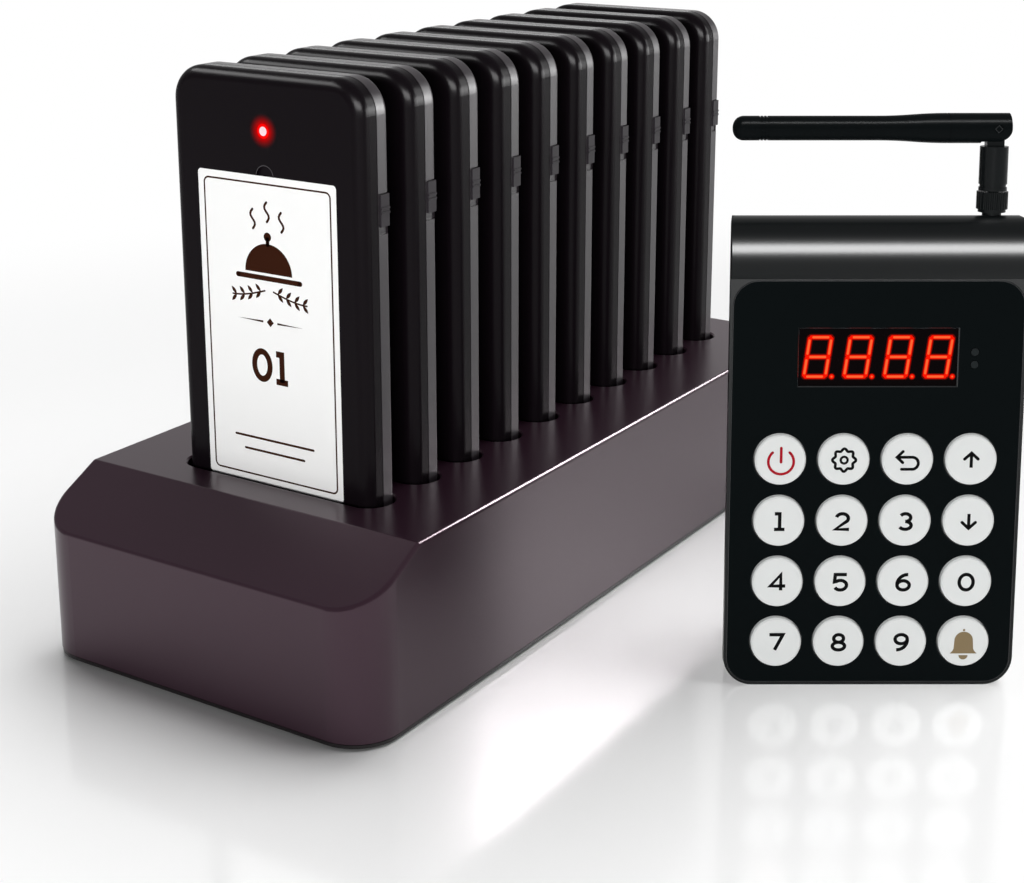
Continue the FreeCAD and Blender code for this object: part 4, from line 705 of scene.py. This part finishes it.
# The place in dock widths from the middle of the dock's front bottom edge
CAMERA_PLACE = Vector((2.6921, -2.8236, 1.9883)) * DOCK_WIDTH
CAMERA_YAW, CAMERA_PITCH, CAMERA_SHIFT = math.radians(-32.80), math.radians(14.55), -0.15
CAMERA_CLIP = 0.01


def make_camera():
    """A camera placed from the middle of the dock's front bottom edge."""
    low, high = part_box("dock_housing")
    front_bottom = Vector(((low.x + high.x) / 2, low.y, 0))
    data = bpy.data.cameras.new("camera")
    data.sensor_width = SENSOR_MM
    data.sensor_fit = "HORIZONTAL"
    data.lens = SENSOR_MM * FOCAL_PIXELS / PHOTO_WIDTH
    data.shift_y = CAMERA_SHIFT
    data.clip_start = CAMERA_CLIP
    camera = bpy.data.objects.new("camera", data)
    scene.collection.objects.link(camera)
    yaw, pitch = CAMERA_YAW, CAMERA_PITCH
    view = Vector((math.sin(yaw) * math.cos(pitch), math.cos(yaw) * math.cos(pitch), -math.sin(pitch)))
    right = Vector((math.cos(yaw), -math.sin(yaw), 0))
    up = right.cross(view)
    place = front_bottom + CAMERA_PLACE
    camera.matrix_world = Matrix((
        (right.x, up.x, -view.x, place.x),
        (right.y, up.y, -view.y, place.y),
        (right.z, up.z, -view.z, place.z),
        (0, 0, 0, 1)))
    scene.camera = camera


LIGHT_TARGET = Vector((0.02, 0.0, 0.1))
SKY_STRENGTH, SKY_SPREAD, SKY_INWARD, SKY_ACROSS = 1.85, 50, -0.55, 0.4


def face_along(light, direction):
    """Turn a light so that it shines along a direction."""
    light.rotation_euler = Vector(direction).to_track_quat("-Z", "Y").to_euler()


def shine_on(light, nodes):
    """Let a light make highlights on some CAD nodes and nothing else."""
    lit = bpy.data.collections.new(light.name + "_shines_on")
    for name in nodes:
        lit.objects.link(frame["nodes"][name])
    light.light_linking.receiver_collection = lit
    light.visible_diffuse = False


def make_soft_box(name, azimuth, elevation, distance, width, height, glow, lit_nodes=None):
    """A soft box that faces the object from an azimuth and elevation in degrees. Distance and size are in
    metres. With nodes to light it makes highlights on those alone, and otherwise it fills without any."""
    data = bpy.data.lights.new(name, "AREA")
    data.shape = "RECTANGLE"
    data.size, data.size_y = width, height
    data.energy = glow * math.pi * width * height
    light = bpy.data.objects.new(name, data)
    scene.collection.objects.link(light)
    turn, rise = math.radians(azimuth), math.radians(elevation)
    outward = Vector((math.sin(turn) * math.cos(rise), -math.cos(turn) * math.cos(rise), math.sin(rise)))
    light.location = LIGHT_TARGET + outward * distance
    face_along(light, -outward)
    if lit_nodes:
        shine_on(light, lit_nodes)
    else:
        light.visible_glossy = False
    return light


def make_sky_light(name, across, clear_nodes=()):
    """Soft light from above and behind, over the whole floor. The clear nodes cast no shadow in it."""
    data = bpy.data.lights.new(name, "SUN")
    data.energy = SKY_STRENGTH
    data.angle = math.radians(SKY_SPREAD)
    light = bpy.data.objects.new(name, data)
    scene.collection.objects.link(light)
    face_along(light, (across, SKY_INWARD, -1.0))
    light.visible_glossy = False
    if clear_nodes:
        clear = bpy.data.collections.new(name + "_passes")
        for node in clear_nodes:
            clear.objects.link(frame["nodes"][node])
        for entry in clear.collection_objects:
            entry.light_linking.link_state = "EXCLUDE"
        light.light_linking.blocker_collection = clear


def make_highlights():
    """The front fill, and the soft boxes whose reflections draw the shells."""
    fronts = [name + "_front_half" for name in PAGERS]
    pagers = fronts + [name + "_rear_half" for name in PAGERS]
    covers = ["keypad_front_cover", "keypad_rear_cover"]
    antenna = ["antenna_arm", "antenna_swivel", "antenna_connector"]
    make_soft_box("front_fill", 20, 4, 2.2, 1.0, 0.4, 23)
    make_soft_box("roll_box", 42, 23, 1.3, 1.2, 0.56, 58, covers)
    make_soft_box("corner_box", 42, 23, 1.3, 1.2, 0.46, 30, fronts)
    make_soft_box("band_box", -58, 42, 1.3, 1.0, 0.3, 16, pagers)
    make_soft_box("top_box", -146, 8, 1.5, 0.8, 0.12, 2, pagers)
    make_soft_box("edge_box", 158, 32, 1.6, 0.7, 0.25, 70, ["dock_housing"])
    make_soft_box("pager_side_box", 126, 7, 1.5, 1.2, 0.4, 20, pagers)
    make_soft_box("arm_strip", 44, 60, 1.2, 1.2, 0.2, 60, antenna)
    # This one is seen only in reflections, most of all in the floor beside the dock
    side_box = make_soft_box("side_box", 143, 23, 1.5, 0.54, 0.36, 7)
    side_box.visible_diffuse = False
    side_box.visible_glossy = True


# The direction from the object to the camera, and the levels that reflections see around it
TOWARDS_CAMERA = (0.543, -0.84, 0.0)
DARK_SIDE, WHITE_SIDE, ROOM_LIGHT = 0.3, 0.6, 0.06
WHITE_UNTIL, DARK_FROM = -0.98, -0.5


def make_world():
    """White behind the object, dim around it, and for its reflections lightest at the back."""
    world = bpy.data.worlds.new("world")
    scene.world = world
    world.use_nodes = True
    tree = world.node_tree
    room = tree.nodes["Background"]
    room.inputs["Color"].default_value = (1, 1, 1, 1)
    room.inputs["Strength"].default_value = ROOM_LIGHT
    place = tree.nodes.new("ShaderNodeTexCoord")
    side = tree.nodes.new("ShaderNodeVectorMath")
    side.operation = "DOT_PRODUCT"
    side.inputs[1].default_value = TOWARDS_CAMERA
    fade = tree.nodes.new("ShaderNodeMapRange")
    fade.interpolation_type = "SMOOTHSTEP"
    fade.inputs["From Min"].default_value = WHITE_UNTIL
    fade.inputs["From Max"].default_value = DARK_FROM
    fade.inputs["To Min"].default_value = WHITE_SIDE
    fade.inputs["To Max"].default_value = DARK_SIDE
    studio = tree.nodes.new("ShaderNodeBackground")
    studio.inputs["Color"].default_value = (1, 1, 1, 1)
    white = tree.nodes.new("ShaderNodeBackground")
    white.inputs["Color"].default_value = (1, 1, 1, 1)
    white.inputs["Strength"].default_value = 1.0
    path = tree.nodes.new("ShaderNodeLightPath")
    seen = tree.nodes.new("ShaderNodeMath")
    seen.operation = "MAXIMUM"
    reflected = tree.nodes.new("ShaderNodeMixShader")
    behind = tree.nodes.new("ShaderNodeMixShader")
    tree.links.new(place.outputs["Generated"], side.inputs[0])
    tree.links.new(side.outputs["Value"], fade.inputs["Value"])
    tree.links.new(fade.outputs["Result"], studio.inputs["Strength"])
    tree.links.new(path.outputs["Is Glossy Ray"], reflected.inputs["Fac"])
    tree.links.new(room.outputs["Background"], reflected.inputs[1])
    tree.links.new(studio.outputs["Background"], reflected.inputs[2])
    tree.links.new(path.outputs["Is Camera Ray"], seen.inputs[0])
    tree.links.new(path.outputs["Is Transmission Ray"], seen.inputs[1])
    tree.links.new(seen.outputs["Value"], behind.inputs["Fac"])
    tree.links.new(reflected.outputs["Shader"], behind.inputs[1])
    tree.links.new(white.outputs["Background"], behind.inputs[2])
    tree.links.new(behind.outputs["Shader"], tree.nodes["World Output"].inputs["Surface"])


FLOOR_SHADED_RADIUS, FLOOR_WHITE_RADIUS, FLOOR_HALF = 0.32, 0.6, 30.0


def floor_plastic():
    """A white floor that keeps the shadows and reflections near the object and is plain white far away."""
    shader = Shader("floor", Base_Color=colour(253, 253, 253), Roughness=0.12, Specular_IOR_Level=1.2)
    place = shader.node("ShaderNodeTexCoord")
    distance = shader.node("ShaderNodeVectorMath")
    distance.operation = "LENGTH"
    far = shader.node("ShaderNodeMapRange")
    far.interpolation_type = "SMOOTHSTEP"
    far.inputs["From Min"].default_value = FLOOR_SHADED_RADIUS
    far.inputs["From Max"].default_value = FLOOR_WHITE_RADIUS
    path = shader.node("ShaderNodeLightPath")
    seen_far = shader.node("ShaderNodeMath")
    seen_far.operation = "MULTIPLY"
    white = shader.node("ShaderNodeEmission", Color=colour(255, 255, 255), Strength=1.0)
    mix = shader.node("ShaderNodeMixShader")
    shader.link(place.outputs["Object"], distance.inputs[0])
    shader.link(distance.outputs["Value"], far.inputs["Value"])
    shader.link(far.outputs["Result"], seen_far.inputs[0])
    shader.link(path.outputs["Is Camera Ray"], seen_far.inputs[1])
    shader.link(seen_far.outputs["Value"], mix.inputs["Fac"])
    shader.link(shader.surface.outputs["BSDF"], mix.inputs[1])
    shader.link(white.outputs["Emission"], mix.inputs[2])
    shader.link(mix.outputs["Shader"], shader.output.inputs["Surface"])
    return shader.material


def make_floor():
    half = FLOOR_HALF
    corners = [(-half, -half, 0), (half, -half, 0), (half, half, 0), (-half, half, 0)]
    mesh = bpy.data.meshes.new("floor")
    mesh.from_pydata(corners, [], [[0, 1, 2, 3]])
    mesh.materials.append(floor_plastic())
    item = bpy.data.objects.new("floor", mesh)
    scene.collection.objects.link(item)


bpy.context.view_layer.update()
scene.view_settings.view_transform = "Standard"
paint_nodes()
dress_pagers()
dress_display()
dress_indicators()
dress_panel()
dress_keys()
dress_antenna()
make_camera()
make_floor()
keypad_nodes = [name for name in frame["nodes"] if name.startswith(("key", "antenna"))]
make_sky_light("sky_left", SKY_ACROSS, keypad_nodes)
make_sky_light("sky_right", -SKY_ACROSS)
make_highlights()
make_world()
